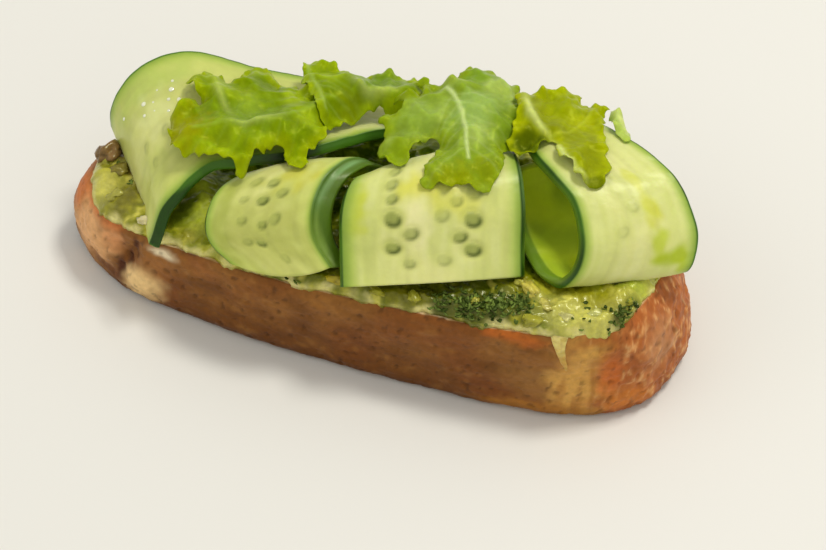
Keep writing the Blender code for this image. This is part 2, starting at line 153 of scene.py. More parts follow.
# The CAD's steps along and across ribbon 3.
RIBBON_3_STEPS = (20, 6)
RIBBONS = {
    "cucumber_ribbon_1": dict(
        near=[(-46.6, -0.5, 23.8), (-45.6, 1.3, 27.5), (-45.2, 4, 31), (-43.5, 7, 34),
              (-41.3, 10.8, 36.5), (-38, 14.4, 38.5), (-33, 16.2, 39.6),
              (-27.5, 19.5, 39.8), (-18.3, 26, 39.2), (-6, 38, 37.5), (3, 45, 33.5)],
        far=[(-69.3, 30.6, 23.8), (-69.4, 30.8, 28.5), (-68.4, 32.2, 33),
             (-66.1, 35.2, 37), (-62.7, 38.4, 39.6), (-58.9, 41.3, 40.6),
             (-55.3, 43.3, 40.6), (-49.1, 45.6, 39), (-37.5, 49.6, 34.3),
             (-24, 55, 31), (-13, 59, 30)],
        crown=1.2, slope=(0.9, 0), skin=(0.35, 0.55), band=(2.6, 2.8), seed_size=0.8,
        outer=-1, shaded_side=0,
        seeds=[(0.48, 10.5, 0.35), (0.33, 11.5, 0.3), (0.46, 17, 0.25), (0.62, 25, 0.25),
               (0.38, 23, 0.2), (0.35, 50, 0.35), (0.5, 53, 0.3), (0.36, 57, 0.3)],
        stains=[(0.5, 20, 25, 30, (192, 198, 98), 0.4), (0.86, 18, 3.5, 14, (166, 194, 84), 0.35),
                (0.26, 9, 6, 8, (192, 200, 100), 0.6), (0.62, 16, 6, 7, (226, 228, 160), 0.5),
                (0.3, 24, 5, 8, (178, 190, 84), 0.5)],
        drops=[(0.75, 14.5, 0.5), (0.68, 13.5, 0.35), (0.72, 21.5, 0.5), (0.66, 20, 0.35),
               (0.78, 22.5, 0.3), (0.82, 8, 0.35), (0.71, 16.5, 0.3), (0.62, 22.5, 0.45),
               (0.65, 16, 0.25), (0.58, 19.5, 0.3), (0.77, 18.5, 0.25)]),
    "cucumber_ribbon_2": dict(
        near=[(-27.4, -1.2, 26), (-32.6, 0.6, 28.2), (-35, 3, 31), (-35.4, 7.6, 33.6),
              (-34, 12.4, 35), (-30.5, 16.6, 34.8), (-27.5, 20.5, 32), (-26, 23.5, 28.5)],
        far=[(-4.8, 3.3, 29.5), (-9.4, 6.2, 32.5), (-11.4, 8.8, 36), (-12.1, 13.3, 39.3),
             (-11.2, 18.3, 41.2), (-8.6, 24, 40.6), (-5.6, 28.5, 37), (-4, 31, 32)],
        crown=1.2, slope=(0.2, 3.8), skin=(0.18, 0.7), band=(2, 1.6), seed_size=0.78,
        lit_side=1, lip=(0.4, 3.4),
        seeds=[(0.49, 6.5, 1), (0.37, 7, 0.45), (0.61, 3, 0.35), (0.54, 10.5, 0.8),
               (0.65, 11.5, 0.55), (0.35, 11.5, 0.5), (0.51, 15.5, 1), (0.33, 16, 0.4),
               (0.67, 17, 0.6), (0.54, 19.5, 0.7), (0.36, 20, 0.4)],
        stains=[(0.5, 8, 14, 13, (182, 186, 90), 0.75), (0.72, 21, 6, 4, (202, 198, 62), 0.7),
                (0.12, 12, 3, 12, (160, 172, 60), 0.5)]),
    "cucumber_ribbon_3": dict(
        near=[(-0.9, -1.2, 29), (-3.1, 4.1, 34), (-5.2, 9.5, 39.6), (-5.7, 14.2, 42),
              (-5.2, 18.6, 41), (-4.6, 22.5, 36.5), (-4.4, 25, 31)],
        far=[(35.9, 14.8, 30.4), (34.2, 19, 35.5), (32.4, 24, 41.3), (29.6, 30, 45),
             (26.5, 36, 44.5), (24, 40.5, 40), (22.5, 43, 33.5)],
        crown=2.6, slope=(0.3, 0.5), skin=(0.3, 0.5), band=(3.6, 3),
        thin=0.4, pale=0.3,
        seeds=[(0.28, 8, 1), (0.37, 4.5, 0.5), (0.38, 11, 0.7), (0.28, 14, 1),
               (0.27, 18, 0.7), (0.26, 21, 0.6), (0.27, 24, 0.6), (0.72, 7, 1),
               (0.56, 5, 0.35), (0.65, 10, 0.9), (0.72, 13.5, 1), (0.55, 14.5, 0.4),
               (0.63, 17, 0.45), (0.73, 18.5, 0.5), (0.56, 19.5, 0.3), (0.72, 23, 0.4)],
        stains=[(0.45, 20, 7, 3, (218, 216, 72), 0.75),
                (0.62, 16.6, 7, 3, (218, 216, 84), 0.7), (0.07, 16, 3, 7, (196, 204, 40), 0.7),
                # the last stain is whitish jelly with a painted highlight on it
                (0.42, 13, 3.5, 6, (236, 232, 170), 0.7)],
        drops=[(0.42, 13.5, 0.3)]),
    "cucumber_ribbon_4": dict(
        near=[(26, 38.5, 37.5), (26.3, 36.5, 33.2), (29, 31, 31.2), (33, 24, 31),
              (37, 18.8, 31), (41, 15.3, 31.2), (44.8, 14.6, 32.2),
              (47.4, 17, 35.8), (47.2, 20.6, 40.8), (43.2, 26.6, 45.4), (36.8, 31, 47.2),
              (31.9, 34.8, 47), (28.2, 39.5, 45.5), (25, 44.5, 41), (22.6, 48.5, 34)],
        far=[(43.6, 51.6, 37.5), (44.6, 50.6, 33.2), (48.5, 48, 31.2), (54, 44, 31),
             (61, 37, 31), (66.4, 31.4, 31.2), (69.8, 29.2, 32.2),
             (70.8, 30.8, 35.4), (69.8, 34.2, 39.6), (65.2, 39.4, 43.6), (60.2, 42.8, 45.6),
             (53.6, 45.8, 46.6), (46.8, 48.8, 46), (41.4, 54, 42), (38.4, 58.5, 35)],
        crown=0.6, slope=(0.5, 0), skin=(0.45, 0.55), band=(2.2, 2.6),
        thin=0.6, pale=0.3, inner=1.3,
        seeds=[(0.34, 48, 0.2), (0.47, 53, 0.2), (0.36, 60, 0.15), (0.3, 29, 0.5),
               (0.45, 33, 0.5), (0.62, 29, 0.5), (0.5, 79, 0.3), (0.35, 83, 0.3)],
        stains=[(0.60, 60, 1.6, 4, (206, 208, 70), 0.7), (0.64, 52, 2.4, 5, (206, 208, 60), 0.8),
                (0.66, 45, 2.8, 4, (190, 204, 44), 0.8), (0.82, 42, 4.5, 3, (176, 194, 20), 0.9),
                (0.93, 39, 2.5, 2, (186, 204, 30), 0.8)]),
}
NO_EXTRAS = dict(outer=1, inner=0, thin=0, pale=0, lip=None, lit_side=None,
                 shaded_side=None, seed_size=1, drops=[])
RIBBONS = {name: {**NO_EXTRAS, **shape} for name, shape in RIBBONS.items()}
# Half the length and width of a seed, and a drop's shape for a radius of 1 mm.
SEED_LENGTH = 1.8
SEED_WIDTH = 1.4
DROP_SHAPE = (1.3, 1.3, 0.585)

# The lettuce leaves, as (x, y, z): the main tips and notches of each edge, the midrib,
# the curled folds, and hollows and swells inside. The leaf lies LEAF_CLEARANCE or more
# above the ribbons, and LEAF_SOFTNESS lets its sheet pass near its points, not through
# them. shades are patches of another colour: middle, radius, colour and strength; the
# darkest one on leaf 4 is painted shade. body, light, rim and vein are its colours, and
# pale and rib are how strongly the pale folds, partly painted highlight on their ridges,
# and the midrib show.
LEAF_THICKNESS = 0.36
LEAF_CLEARANCE = 0.7
LEAF_STEP = 0.42
LEAF_SOFTNESS = 0.4
FRILL_REACH = 2.4
# A side vein's points: mm away from the midrib and mm along it.
VEIN_POINTS = [(0, 0), (4, 3), (8, 7.5), (11, 13)]
LEAVES = {
    "lettuce_leaf_1": dict(
        edge=[(-52, 33, 42), (-49, 35.5, 43), (-48, 39, 42), (-43, 36, 43), (-41.5, 41, 41.5),
              (-40.5, 46, 40), (-36, 45, 41), (-33, 42.5, 41), (-28, 43.5, 41), (-21.5, 38.5, 42),
              (-17, 32.5, 42), (-16, 26, 43), (-17.5, 22, 43), (-17, 17.5, 43), (-20.5, 17.5, 44),
              (-25, 21, 44), (-28.5, 18, 44), (-30, 12, 42), (-34, 14, 42), (-41, 13, 42),
              (-47, 14, 42), (-51, 21.5, 42), (-49, 26, 43), (-46, 28.5, 43.5)],
        midrib=[(-21, 34, 44), (-25, 29, 45.8), (-31, 24, 46.4), (-37, 21.5, 45.8), (-44, 18, 45)],
        folds=[[(-46, 36, 44.8), (-42, 29.5, 45.6), (-37, 24, 45.6)],
               [(-37, 21.5, 46.2), (-31, 24, 46.8), (-26, 27.5, 46.4)]], pale=0.35,
        inside=[(-31, 29.5, 43.2), (-46, 24, 43), (-36, 17, 43.4), (-21.5, 24, 45.6),
                (-34, 36, 43.8), (-39, 40, 43)],
        shades=[((-47, 19), 7, (150, 148, 0), 0.7), ((-33, 27), 7, (120, 148, 44), 0.6),
                ((-42, 35), 6, (124, 146, 0), 0.5), ((-24, 20), 4, (134, 148, 0), 0.5)],
        body=(122, 148, 0), light=(158, 178, 22), rim=(160, 174, 0), vein=(150, 176, 60)),
    "lettuce_leaf_2": dict(
        edge=[(-28.5, 46, 41), (-23, 38, 43), (-18, 32, 41.5), (-14, 36.5, 40.5),
              (-9, 42, 41.5), (-5, 42, 42.5), (1, 45.5, 43.5), (2.5, 50, 43.5), (-6, 53.5, 42),
              (-12, 53, 41), (-18, 50.5, 41), (-23.5, 52.5, 40.5), (-28.5, 51.5, 40)],
        midrib=[(-28, 49, 41.5), (-24.5, 43, 44), (-21.5, 39.5, 44.6), (-18.5, 35, 43.6)],
        folds=[[(-17, 46, 45.2), (-12, 43, 45.5), (-8.5, 44, 45), (-4, 47.5, 44.6)]], pale=0.45,
        inside=[(-22, 47, 42.6), (-11.5, 48, 42.4), (-15.5, 39.5, 42.4)],
        shades=[((-10, 49), 6, (108, 140, 36), 0.6), ((-14, 39), 4, (126, 138, 0), 0.6),
                ((-25, 47), 4, (146, 168, 4), 0.6)],
        body=(126, 152, 2), light=(156, 178, 30), rim=(160, 178, 8), vein=(168, 192, 96)),
    "lettuce_leaf_3": dict(
        edge=[(-4, 43, 46), (-1, 38.5, 47), (-5.5, 35, 45.5), (-2.5, 31, 46), (-3, 26.5, 45),
              (2, 22.5, 46), (5, 24, 47), (5.5, 30, 47.5), (9.5, 32.5, 48), (10, 26, 48),
              (9.5, 20.5, 48), (11, 18, 47.5), (18, 20.5, 47.5), (24, 22, 47.5), (26, 29, 48),
              (24.5, 34, 47.5), (26.8, 39, 48), (24.5, 43, 48.5), (24, 51, 47.5), (18, 57, 46.5),
              (9, 59, 45.5), (6.5, 54, 47.5), (7, 50, 48.5), (3, 48.5, 47), (-0.5, 49.5, 46),
              (1, 45, 47)],
        midrib=[(6.5, 47, 49), (9, 44.5, 50), (12, 40.5, 50.5), (14.5, 36, 50.6), (16.2, 31.6, 50.3),
                (18, 27.5, 49.6)],
        folds=[],
        inside=[(2, 35.5, 48.4), (0, 28.5, 47), (12.5, 24, 48.8), (21.5, 27, 49.2),
                (21, 38.5, 50), (19, 48, 49.4), (12.5, 53.5, 48), (-1, 41, 47.8)],
        shades=[((15, 42), 7, (152, 182, 92), 0.7), ((3, 37), 6, (146, 174, 66), 0.6),
                ((23.5, 41), 6, (116, 144, 8), 0.8),
                ((17, 21), 5, (142, 152, 0), 0.8), ((0, 26), 4, (132, 156, 4), 0.8),
                ((22, 26), 4, (132, 146, 0), 0.7), ((12, 54), 4, (124, 160, 40), 0.6)],
        body=(134, 160, 36), light=(172, 192, 96), rim=(142, 162, 0), vein=(196, 214, 136),
        rib=0.95),
    "lettuce_leaf_4": dict(
        edge=[(22, 51, 48.5), (26.5, 54, 48), (34.5, 58, 47), (36.5, 55, 48), (42, 55.5, 47.5),
              (42, 50.5, 48.5), (45.5, 43, 49.5), (48.5, 34, 48.5), (46, 30, 48),
              (42.5, 31, 49.5), (37, 35, 50.4), (33.5, 39.5, 50.4), (31.5, 36, 48.8),
              (28, 33, 47.6), (25, 36, 47.6), (24.2, 40, 48.8), (24, 44, 50), (22, 48, 50)],
        midrib=[(33, 40.5, 50.6), (36.5, 43.5, 48.6), (38.5, 48, 48.4), (39.5, 53, 48.4)],
        folds=[[(23.8, 49.5, 50.8), (27, 44, 51.4), (32.6, 40.6, 50.8)],
               [(33.8, 39.4, 50.5), (39, 34, 50.6), (44.2, 30.8, 49)]],
        inside=[(29.5, 48, 49), (34, 51.5, 48.8), (38, 46, 48.4), (42, 42.5, 48.8),
                (44.4, 35, 49.4), (28.5, 37, 47.6)],
        # the second shade is painted shade on the leaf's lower left part
        shades=[((46.8, 31), 2.8, (96, 108, 0), 0.9), ((29, 37), 4.5, (70, 88, 0), 0.9),
                ((33, 52), 5, (150, 164, 0), 0.6)],
        body=(148, 158, 0), light=(178, 186, 0), rim=(162, 172, 0), vein=(184, 194, 50)),
    "lettuce_leaf_5": dict(
        edge=[(43, 54.5, 48), (48.5, 51, 48), (50.2, 46.6, 47.8), (47.6, 46.4, 48.6),
              (44.5, 50.5, 48.6)],
        midrib=[(43.5, 53.5, 48.4), (46.5, 50.5, 49), (49, 47.8, 48.4)],
        folds=[[(44.5, 53.2, 48.6), (47.5, 50.6, 49), (49, 48.5, 48.4)]], inside=[], shades=[],
        body=(172, 196, 84), light=(190, 208, 110), rim=(176, 198, 80), vein=(206, 220, 140)),
}

# ---- small helpers

# Brings Blender's noise to about -1 to 1.
NOISE_GAIN = 1.6
# smooth_curve's step, as a share of the stretch between two points.
CURVE_STEP = 0.02
# Heights above and below every piece.
ABOVE_ALL = 80.0
NOTHING_BELOW = -1e9
# How many times a ball's faces are divided.
BALL_DETAIL = 3


def linear(colour):
    """Colours as linear light, which a tuple of 0-255 display values is turned into."""
    if not isinstance(colour, tuple):
        return colour
    values = np.array(colour) / 255.0
    return np.where(values <= 0.04045, values / 12.92, ((values + 0.055) / 1.055) ** 2.4)


def mix(a, b, share):
    """Blend colours a and b; share may be one number per row."""
    share = np.asarray(share, float)
    if share.ndim == 1:
        share = share[:, None]
    return linear(a) * (1 - share) + linear(b) * share


def norms(vectors):
    """The length of each row."""
    return np.linalg.norm(vectors, axis=1)


def step_up(value, low, high):
    """0 below low, 1 above high, and a smooth rise between."""
    t = np.clip((np.asarray(value, float) - low) / (high - low), 0, 1)
    return t * t * (3 - 2 * t)


def bell(value, width):
    """1 where value is 0, falling to 0 a few widths away."""
    return np.exp(-(np.asarray(value, float) / width) ** 2)


def swells(points, table):
    """The height of the rounded swells (middle, radius, height) at each point."""
    total = np.zeros(len(points))
    for middle, radius, height in table:
        total += height * bell(norms(points - middle), radius)
    return total


def patched(tone, spots, patches, unevenness, whole=0.35, none=1.3):
    """Tone with patches of (middle, reach, colour, strength) over it. Each is whole where
    the distance from its middle, in reaches, plus the unevenness is under `whole`, and
    gone where that is over `none`."""
    for middle, reach, colour, strength in patches:
        away = norms((spots - middle) / reach)
        fade = 1 - step_up(away + unevenness, whole, none)
        tone = mix(tone, colour, strength * fade)
    return tone


def layered(tone, layers):
    """Tone with layers of (colour or factor, strength, field, low, high) over it. Each has
    its full strength where its field is above high, and none where it is below low."""
    for colour, strength, field, low, high in layers:
        over = tone * colour if np.isscalar(colour) else colour
        tone = mix(tone, over, strength * step_up(field, low, high))
    return tone


def in_plan(points, level):
    """Points moved to one level, where noise then varies only in plan."""
    return np.column_stack([points[:, :2], np.full(len(points), level)])


def lumps(points, size, seed=0.0):
    """Smooth unevenness at each point, about -1 to 1, with bumps `size` mm across."""
    return np.array([noise.noise(p) for p in (points / size + seed).tolist()]) * NOISE_GAIN


def cells(points, size, seed=0.0):
    """Rounded pebbles `size` mm across: 1 at the middle of each and 0 between them."""
    rows = (points / size + seed).tolist()
    nearest = [noise.voronoi(p)[0] for p in rows]
    return np.array([min(1.0, 1.6 * (d[1] - d[0])) ** 0.6 for d in nearest])


def smooth_curve(points, count, closed=False):
    """`count` points evenly spaced along a Catmull-Rom curve through `points`."""
    knots = np.array(points, float)
    spans = len(knots) if closed else len(knots) - 1
    if closed:
        padded = np.vstack([knots[-1:], knots, knots[:2]])
    else:
        padded = np.vstack([2 * knots[0] - knots[1], knots, 2 * knots[-1] - knots[-2]])
    fine = []
    for span in range(spans):
        a, b, c, d = padded[span:span + 4]
        for t in np.arange(0, 1, CURVE_STEP):
            fine.append(0.5 * (2 * b + (c - a) * t + (2 * a - 5 * b + 4 * c - d) * t ** 2
                               + (3 * b - a - 3 * c + d) * t ** 3))
    fine.append(knots[0] if closed else knots[-1])
    fine = np.array(fine)
    steps = norms(np.diff(fine, axis=0))
    travelled = np.concatenate([[0], np.cumsum(steps)])
    wanted = np.linspace(0, travelled[-1], count, endpoint=not closed)
    return np.stack([np.interp(wanted, travelled, column) for column in fine.T], 1)


def unit(vectors):
    """The vectors of each row at length 1."""
    return vectors / norms(vectors)[:, None]


def outward(outline):
    """Unit normals that point out of a closed outline that runs anticlockwise."""
    tangent = unit(np.roll(outline, -1, axis=0) - np.roll(outline, 1, axis=0))
    return np.stack([tangent[:, 1], -tangent[:, 0]], 1)


def line_distance(points, line):
    """Distance in plan from each point to a line of several stretches, and the share
    of the line's length at the nearest spot."""
    line = np.array(line, float)[:, :2]
    lengths = norms(np.diff(line, axis=0))
    best = np.full(len(points), 1e9)
    share = np.zeros(len(points))
    before = 0.0
    for start, end, length in zip(line[:-1], line[1:], lengths):
        along = np.clip((points[:, :2] - start) @ (end - start) / length ** 2, 0, 1)
        away = norms(points[:, :2] - start - along[:, None] * (end - start))
        closer = away < best
        best = np.where(closer, away, best)
        share = np.where(closer, (before + along * length) / lengths.sum(), share)
        before += length
    return best, share


def bent_plate(knots, softness):
    """The height of a thin plate bent near the knots (x, y, z), as a function of plan."""
    plan, count = knots[:, :2], len(knots)

    def bending(spots):
        """What each knot adds at each spot, for a weight of 1."""
        squared = ((spots[:, None] - plan[None]) ** 2).sum(2)
        return 0.5 * squared * np.log(squared + 1e-9)

    system = np.zeros((count + 3, count + 3))
    system[:count, :count] = bending(plan) + softness * np.eye(count)
    system[:count, count:] = np.column_stack([np.ones(count), plan])
    system[count:, :count] = system[:count, count:].T
    weights = np.linalg.solve(system, np.concatenate([knots[:, 2], np.zeros(3)]))
    return lambda spots: (bending(spots) @ weights[:count]
                          + np.column_stack([np.ones(len(spots)), spots]) @ weights[count:])


def turned(x, y, angle):
    """x and y, turned anticlockwise by an angle in radians."""
    return np.array([x * math.cos(angle) - y * math.sin(angle),
                     x * math.sin(angle) + y * math.cos(angle)])


def is_inside(points, outline):
    """Which plan points lie inside a closed outline."""
    x, y = points[:, :1], points[:, 1:2]
    x0, y0 = outline.T
    x1, y1 = np.roll(outline, -1, axis=0).T
    crosses = (y0 > y) != (y1 > y)
    crossing = x0 + (y - y0) * (x1 - x0) / np.where(y1 == y0, 1e-9, y1 - y0)
    return (crosses & (x < crossing)).sum(1) % 2 == 1


def grid_faces(rows, columns, wrap):
    """Quads of a grid of vertices, row by row; wrap joins the last column to the first."""
    row, column = np.meshgrid(np.arange(rows - 1), np.arange(columns if wrap else columns - 1),
                              indexing="ij")
    after = (column + 1) % columns
    quads = np.stack([row * columns + column, row * columns + after,
                      (row + 1) * columns + after, (row + 1) * columns + column], -1)
    return quads.reshape(-1, 4).tolist()


def tube_faces(rows, around):
    """Quads of a tube of rings of vertices, and the two polygons that close its ends."""
    ends = [tuple(range(start, start + around)) for start in (0, (rows - 1) * around)]
    return grid_faces(rows, around, wrap=True) + ends


def put_in_scene(name, data):
    """A new object in the scene for a mesh, a camera or a light."""
    holder = bpy.data.objects.new(name, data)
    bpy.context.scene.collection.objects.link(holder)
    return holder


def make_piece(name, points, faces, material, colours):
    """A smooth-shaded mesh from millimetre points, with a colour for each vertex."""
    mesh = bpy.data.meshes.new(name)
    mesh.from_pydata(place(points).tolist(), [], faces)
    working = bmesh.new()
    working.from_mesh(mesh)
    bmesh.ops.recalc_face_normals(working, faces=working.faces)
    working.to_mesh(mesh)
    working.free()
    mesh.shade_smooth()
    layer = mesh.color_attributes.new("tone", 'FLOAT_COLOR', 'POINT')
    full = np.hstack([np.clip(colours, 0, 1), np.ones((len(colours), 1))])
    layer.data.foreach_set("color", full.astype(np.float32).ravel())
    mesh.materials.append(material)
    return put_in_scene(name, mesh)


def make_many(name, shells, faces, material, colours):
    """One piece of many shells of points, which all have the same faces."""
    all_faces = np.vstack([faces + k * len(shells[0]) for k in range(len(shells))])
    return make_piece(name, np.vstack(shells), all_faces.tolist(), material, np.vstack(colours))


def ball():
    """Points and faces of a unit ball."""
    working = bmesh.new()
    bmesh.ops.create_icosphere(working, subdivisions=BALL_DETAIL, radius=1.0)
    working.verts.index_update()
    points = np.array([v.co for v in working.verts])
    faces = np.array([[v.index for v in f.verts] for f in working.faces])
    working.free()
    return points, faces


def surface_tree(piece):
    """A ray-casting tree of a piece's mesh, in metres."""
    mesh = piece.data
    return BVHTree.FromPolygons([v.co for v in mesh.vertices],
                                [tuple(f.vertices) for f in mesh.polygons])


def height_below(plan, trees):
    """Height in mm of the highest surface under each plan point, or NOTHING_BELOW."""
    rest = np.full(len(plan), NOTHING_BELOW)
    starts = place(in_plan(plan, ABOVE_ALL))
    for tree in trees:
        for index, start in enumerate(starts.tolist()):
            hit = tree.ray_cast(start, (0, 0, -1))[0]
            if hit is not None:
                rest[index] = max(rest[index], hit.z / MM - TO_FRAME[2])
    return rest


# ---- materials


def fill(node, values):
    """Set a node's input sockets by name."""
    for socket, value in values.items():
        node.inputs[socket].default_value = value


def food_material(name, roughness, mottle, bumps, subsurface=0.0, radius=(1.0, 1.0, 1.0),
                  coat=0.0, specular=0.5, gloss=(1.0, 1.0, 1.0)):
    """A Principled material coloured by the mesh's tones.

    mottle is (size mm, low, high): how much fine noise darkens and lightens the tone.
    bumps is a list of (size mm, height mm). gloss is the colour of its reflections.
    """
    material = bpy.data.materials.new(name)
    material.use_nodes = True
    nodes, links = material.node_tree.nodes, material.node_tree.links
    shader = nodes["Principled BSDF"]
    fill(shader, {"Roughness": roughness, "Subsurface Weight": subsurface,
                  "Subsurface Radius": radius, "Subsurface Scale": MM, "Coat Weight": coat,
                  "Coat Roughness": 0.12, "Specular IOR Level": specular,
                  "Specular Tint": (*gloss, 1)})
    where = nodes.new("ShaderNodeTexCoord").outputs["Object"]

    def fine_noise(size, detail):
        """Noise with spots `size` mm across, in the object's own space."""
        texture = nodes.new("ShaderNodeTexNoise")
        fill(texture, {"Scale": 1 / (size * MM), "Detail": detail})
        links.new(where, texture.inputs["Vector"])
        return texture.outputs["Fac"]

    tone = nodes.new("ShaderNodeAttribute")
    tone.attribute_name = "tone"
    size, low, high = mottle
    grain = nodes.new("ShaderNodeMapRange")
    fill(grain, {"From Min": 0.3, "From Max": 0.7, "To Min": low, "To Max": high})
    links.new(fine_noise(size, 4.0), grain.inputs["Value"])
    tint = nodes.new("ShaderNodeVectorMath")
    tint.operation = 'SCALE'
    links.new(tone.outputs["Color"], tint.inputs[0])
    links.new(grain.outputs["Result"], tint.inputs["Scale"])
    links.new(tint.outputs["Vector"], shader.inputs["Base Color"])
    normal = None
    for size, height in bumps:
        bump = nodes.new("ShaderNodeBump")
        fill(bump, {"Distance": height * MM})
        links.new(fine_noise(size, 3.0), bump.inputs["Height"])
        if normal is not None:
            links.new(normal, bump.inputs["Normal"])
        normal = bump.outputs["Normal"]
    links.new(normal, shader.inputs["Normal"])
    return material


# ---- bread


def bread_top(x):
    """Height of the cut face."""
    return BREAD_HEIGHT + BREAD_WEDGE * x


def end_slope(x, share):
    """How far the crust leans in near both ends, at a share of the height."""
    past = np.clip((np.abs(x) - END_START) / (END_FULL - END_START), 0, 1)
    return np.where(x < 0, *END_SLOPES) * past * share ** 3


def crust_relief(points, share):
    """How far the crust stands out from its smooth side."""
    side = 1 - np.abs(2 * share - 1) ** 4
    relief = CRUST_BUMP * side * lumps(points, CRUST_BUMP_SIZE)
    relief += side * swells(points, CRUST_SWELLS)
    relief += 0.26 * side * lumps(points, 5.0, 3.0)
    relief += 0.16 * lumps(points * (0.6, 0.6, 1.3), 1.9, 7.0)
    relief += 0.07 * lumps(points, 0.9, 17.0)
    return relief - 0.3 * crust_pits(points)


def crust_pits(points):
    """1 in the small dark pits of the crust."""
    return step_up(lumps(points, 1.5, 21.0), 0.6, 0.85)


def crust_wrinkles(points):
    """Leathery folds at the right end, 0 in their furrows and 1 on their backs."""
    bent = points + 1.2 * np.column_stack([lumps(points, 5.0, s) for s in (1.0, 2.0, 3.0)])
    fold = 1 - np.abs(lumps(bent * (1.0, 1.0, 0.38), 3.0, 11.0))
    return np.clip((fold - 0.35) / 0.65, 0, 1) ** 1.5


def crust_roughness(points):
    """Relief of the leathery right end."""
    amount = step_up(points[:, 0], *LEATHER_RELIEF)
    return amount * (0.45 * (crust_wrinkles(points) - 0.5) + 0.25 * lumps(points, 2.0, 5.0))


def make_crust(material):
    """The slice: its base, its side with the crust's relief, and the rim of the cut face,
    closed under the mash."""
    outline = smooth_curve(BREAD_OUTLINE, CRUST_AROUND, closed=True)
    normals = outward(outline)
    profile = smooth_curve([(s * BREAD_HEIGHT, i) for s, i in CRUST_PROFILE], CRUST_ROWS)
    rows, shares, rims = [], [], []

    def add_row(plan, height, share, rim):
        """One ring of points, with its share of the height and how far in it is."""
        rows.append(np.column_stack([plan, height]))
        shares.append(share)
        rims.append(rim)

    for factor in BASE_RINGS:
        plan = outline * factor + outline.mean(0) * (1 - factor)
        add_row(plan - normals * CRUST_PROFILE[0][1], np.zeros(CRUST_AROUND), 0, 0)
    for height, inset in profile:
        share = height / BREAD_HEIGHT
        base = np.column_stack([outline, share * bread_top(outline[:, 0])])
        relief = crust_relief(base, share)
        relief += crust_roughness(base) * (1 - abs(2 * share - 1) ** 6)
        pull = inset + end_slope(outline[:, 0], share) - relief * (height != 0)
        plan = outline - normals * pull[:, None]
        add_row(plan, share * bread_top(plan[:, 0]), share, 0)
    edge = rows[-1][:, :2]
    middle = edge.mean(0)
    reach = norms(edge - middle)
    for row in range(1, RIM_ROWS + 1):
        inward = RIM_WIDTH * row / RIM_ROWS
        plan = edge + (middle - edge) * (inward / reach)[:, None]
        flat = np.column_stack([plan, bread_top(plan[:, 0])])
        pores = 0.35 * lumps(flat, 1.6, 2.0) + 0.25 * lumps(flat, 4.0, 9.0)
        add_row(plan, flat[:, 2] + np.minimum(pores, 0.15) * min(1.0, row / 3), 1, inward)
    points = np.vstack(rows)
    share, rim = np.repeat(shares, CRUST_AROUND), np.repeat(rims, CRUST_AROUND)
    return make_piece("toast_crust", points, tube_faces(len(rows), CRUST_AROUND), material,
                      crust_tones(points, share, rim))


# Patches of another colour on the crust: middle, reach along x, y and z, colour and
# strength. They are the tan left knob with its orange top, the crease beside it, which is
# painted shade, a painted shade under the knob at its foot, the pale swell below, the torn
# crumb, and the orange and golden spots at the right.
CRUST_PATCHES = [
    ((-67, 8, 12), (9.5, 9, 13), (228, 172, 114), 0.95),
    ((-66, 7, 20.2), (9, 8, 2.8), (214, 112, 48), 0.95),
    ((-72, 15, 17), (4, 7, 5), (200, 108, 44), 0.8),
    ((-59, 2.5, 15), (3.5, 4, 4), (226, 156, 98), 0.8),
    # painted shade in the crease beside the knob
    ((-52.6, 2.8, 17), (1, 6, 3.5), (78, 34, 10), 1),
    ((-54.3, 3.4, 12), (1.1, 6, 3.5), (78, 34, 10), 1),
    ((-56.8, 4.2, 7.5), (1.5, 6, 3.5), (78, 34, 10), 1),
    # painted shade under the knob at the foot of the left end
    ((-62.5, 5, 4), (7, 6, 1.7), (104, 56, 22), 0.8),
    ((-51, 0, 7.5), (6.5, 4, 6), (244, 206, 140), 0.95),
    ((-47.5, -0.6, 15), (5, 4, 5), (170, 112, 56), 0.6),
    ((-45.4, 1, 18.9), (4.6, 4, 1.5), (240, 222, 182), 0.95),
    ((-36, -1.5, 19.5), (5, 3, 3), (160, 96, 50), 0.6),
    ((39.5, 0.4, 25.8), (9, 3, 2.4), (196, 102, 32), 0.9),
    ((46, 2, 11), (10, 5, 8), (170, 120, 58), 0.5),
    ((53.5, 3.6, 12), (7, 7, 17), (222, 168, 80), 0.85),
    ((45, 2, 2.5), (17, 6, 3.5), (176, 114, 36), 0.8),
    ((60, 6.5, 15), (3.4, 5, 7), (212, 108, 40), 0.7),
    ((64, 9, 6), (6, 7, 4.5), (222, 132, 46), 0.65),
    ((70, 17, 19), (6, 7, 9), (208, 152, 102), 0.6),
]


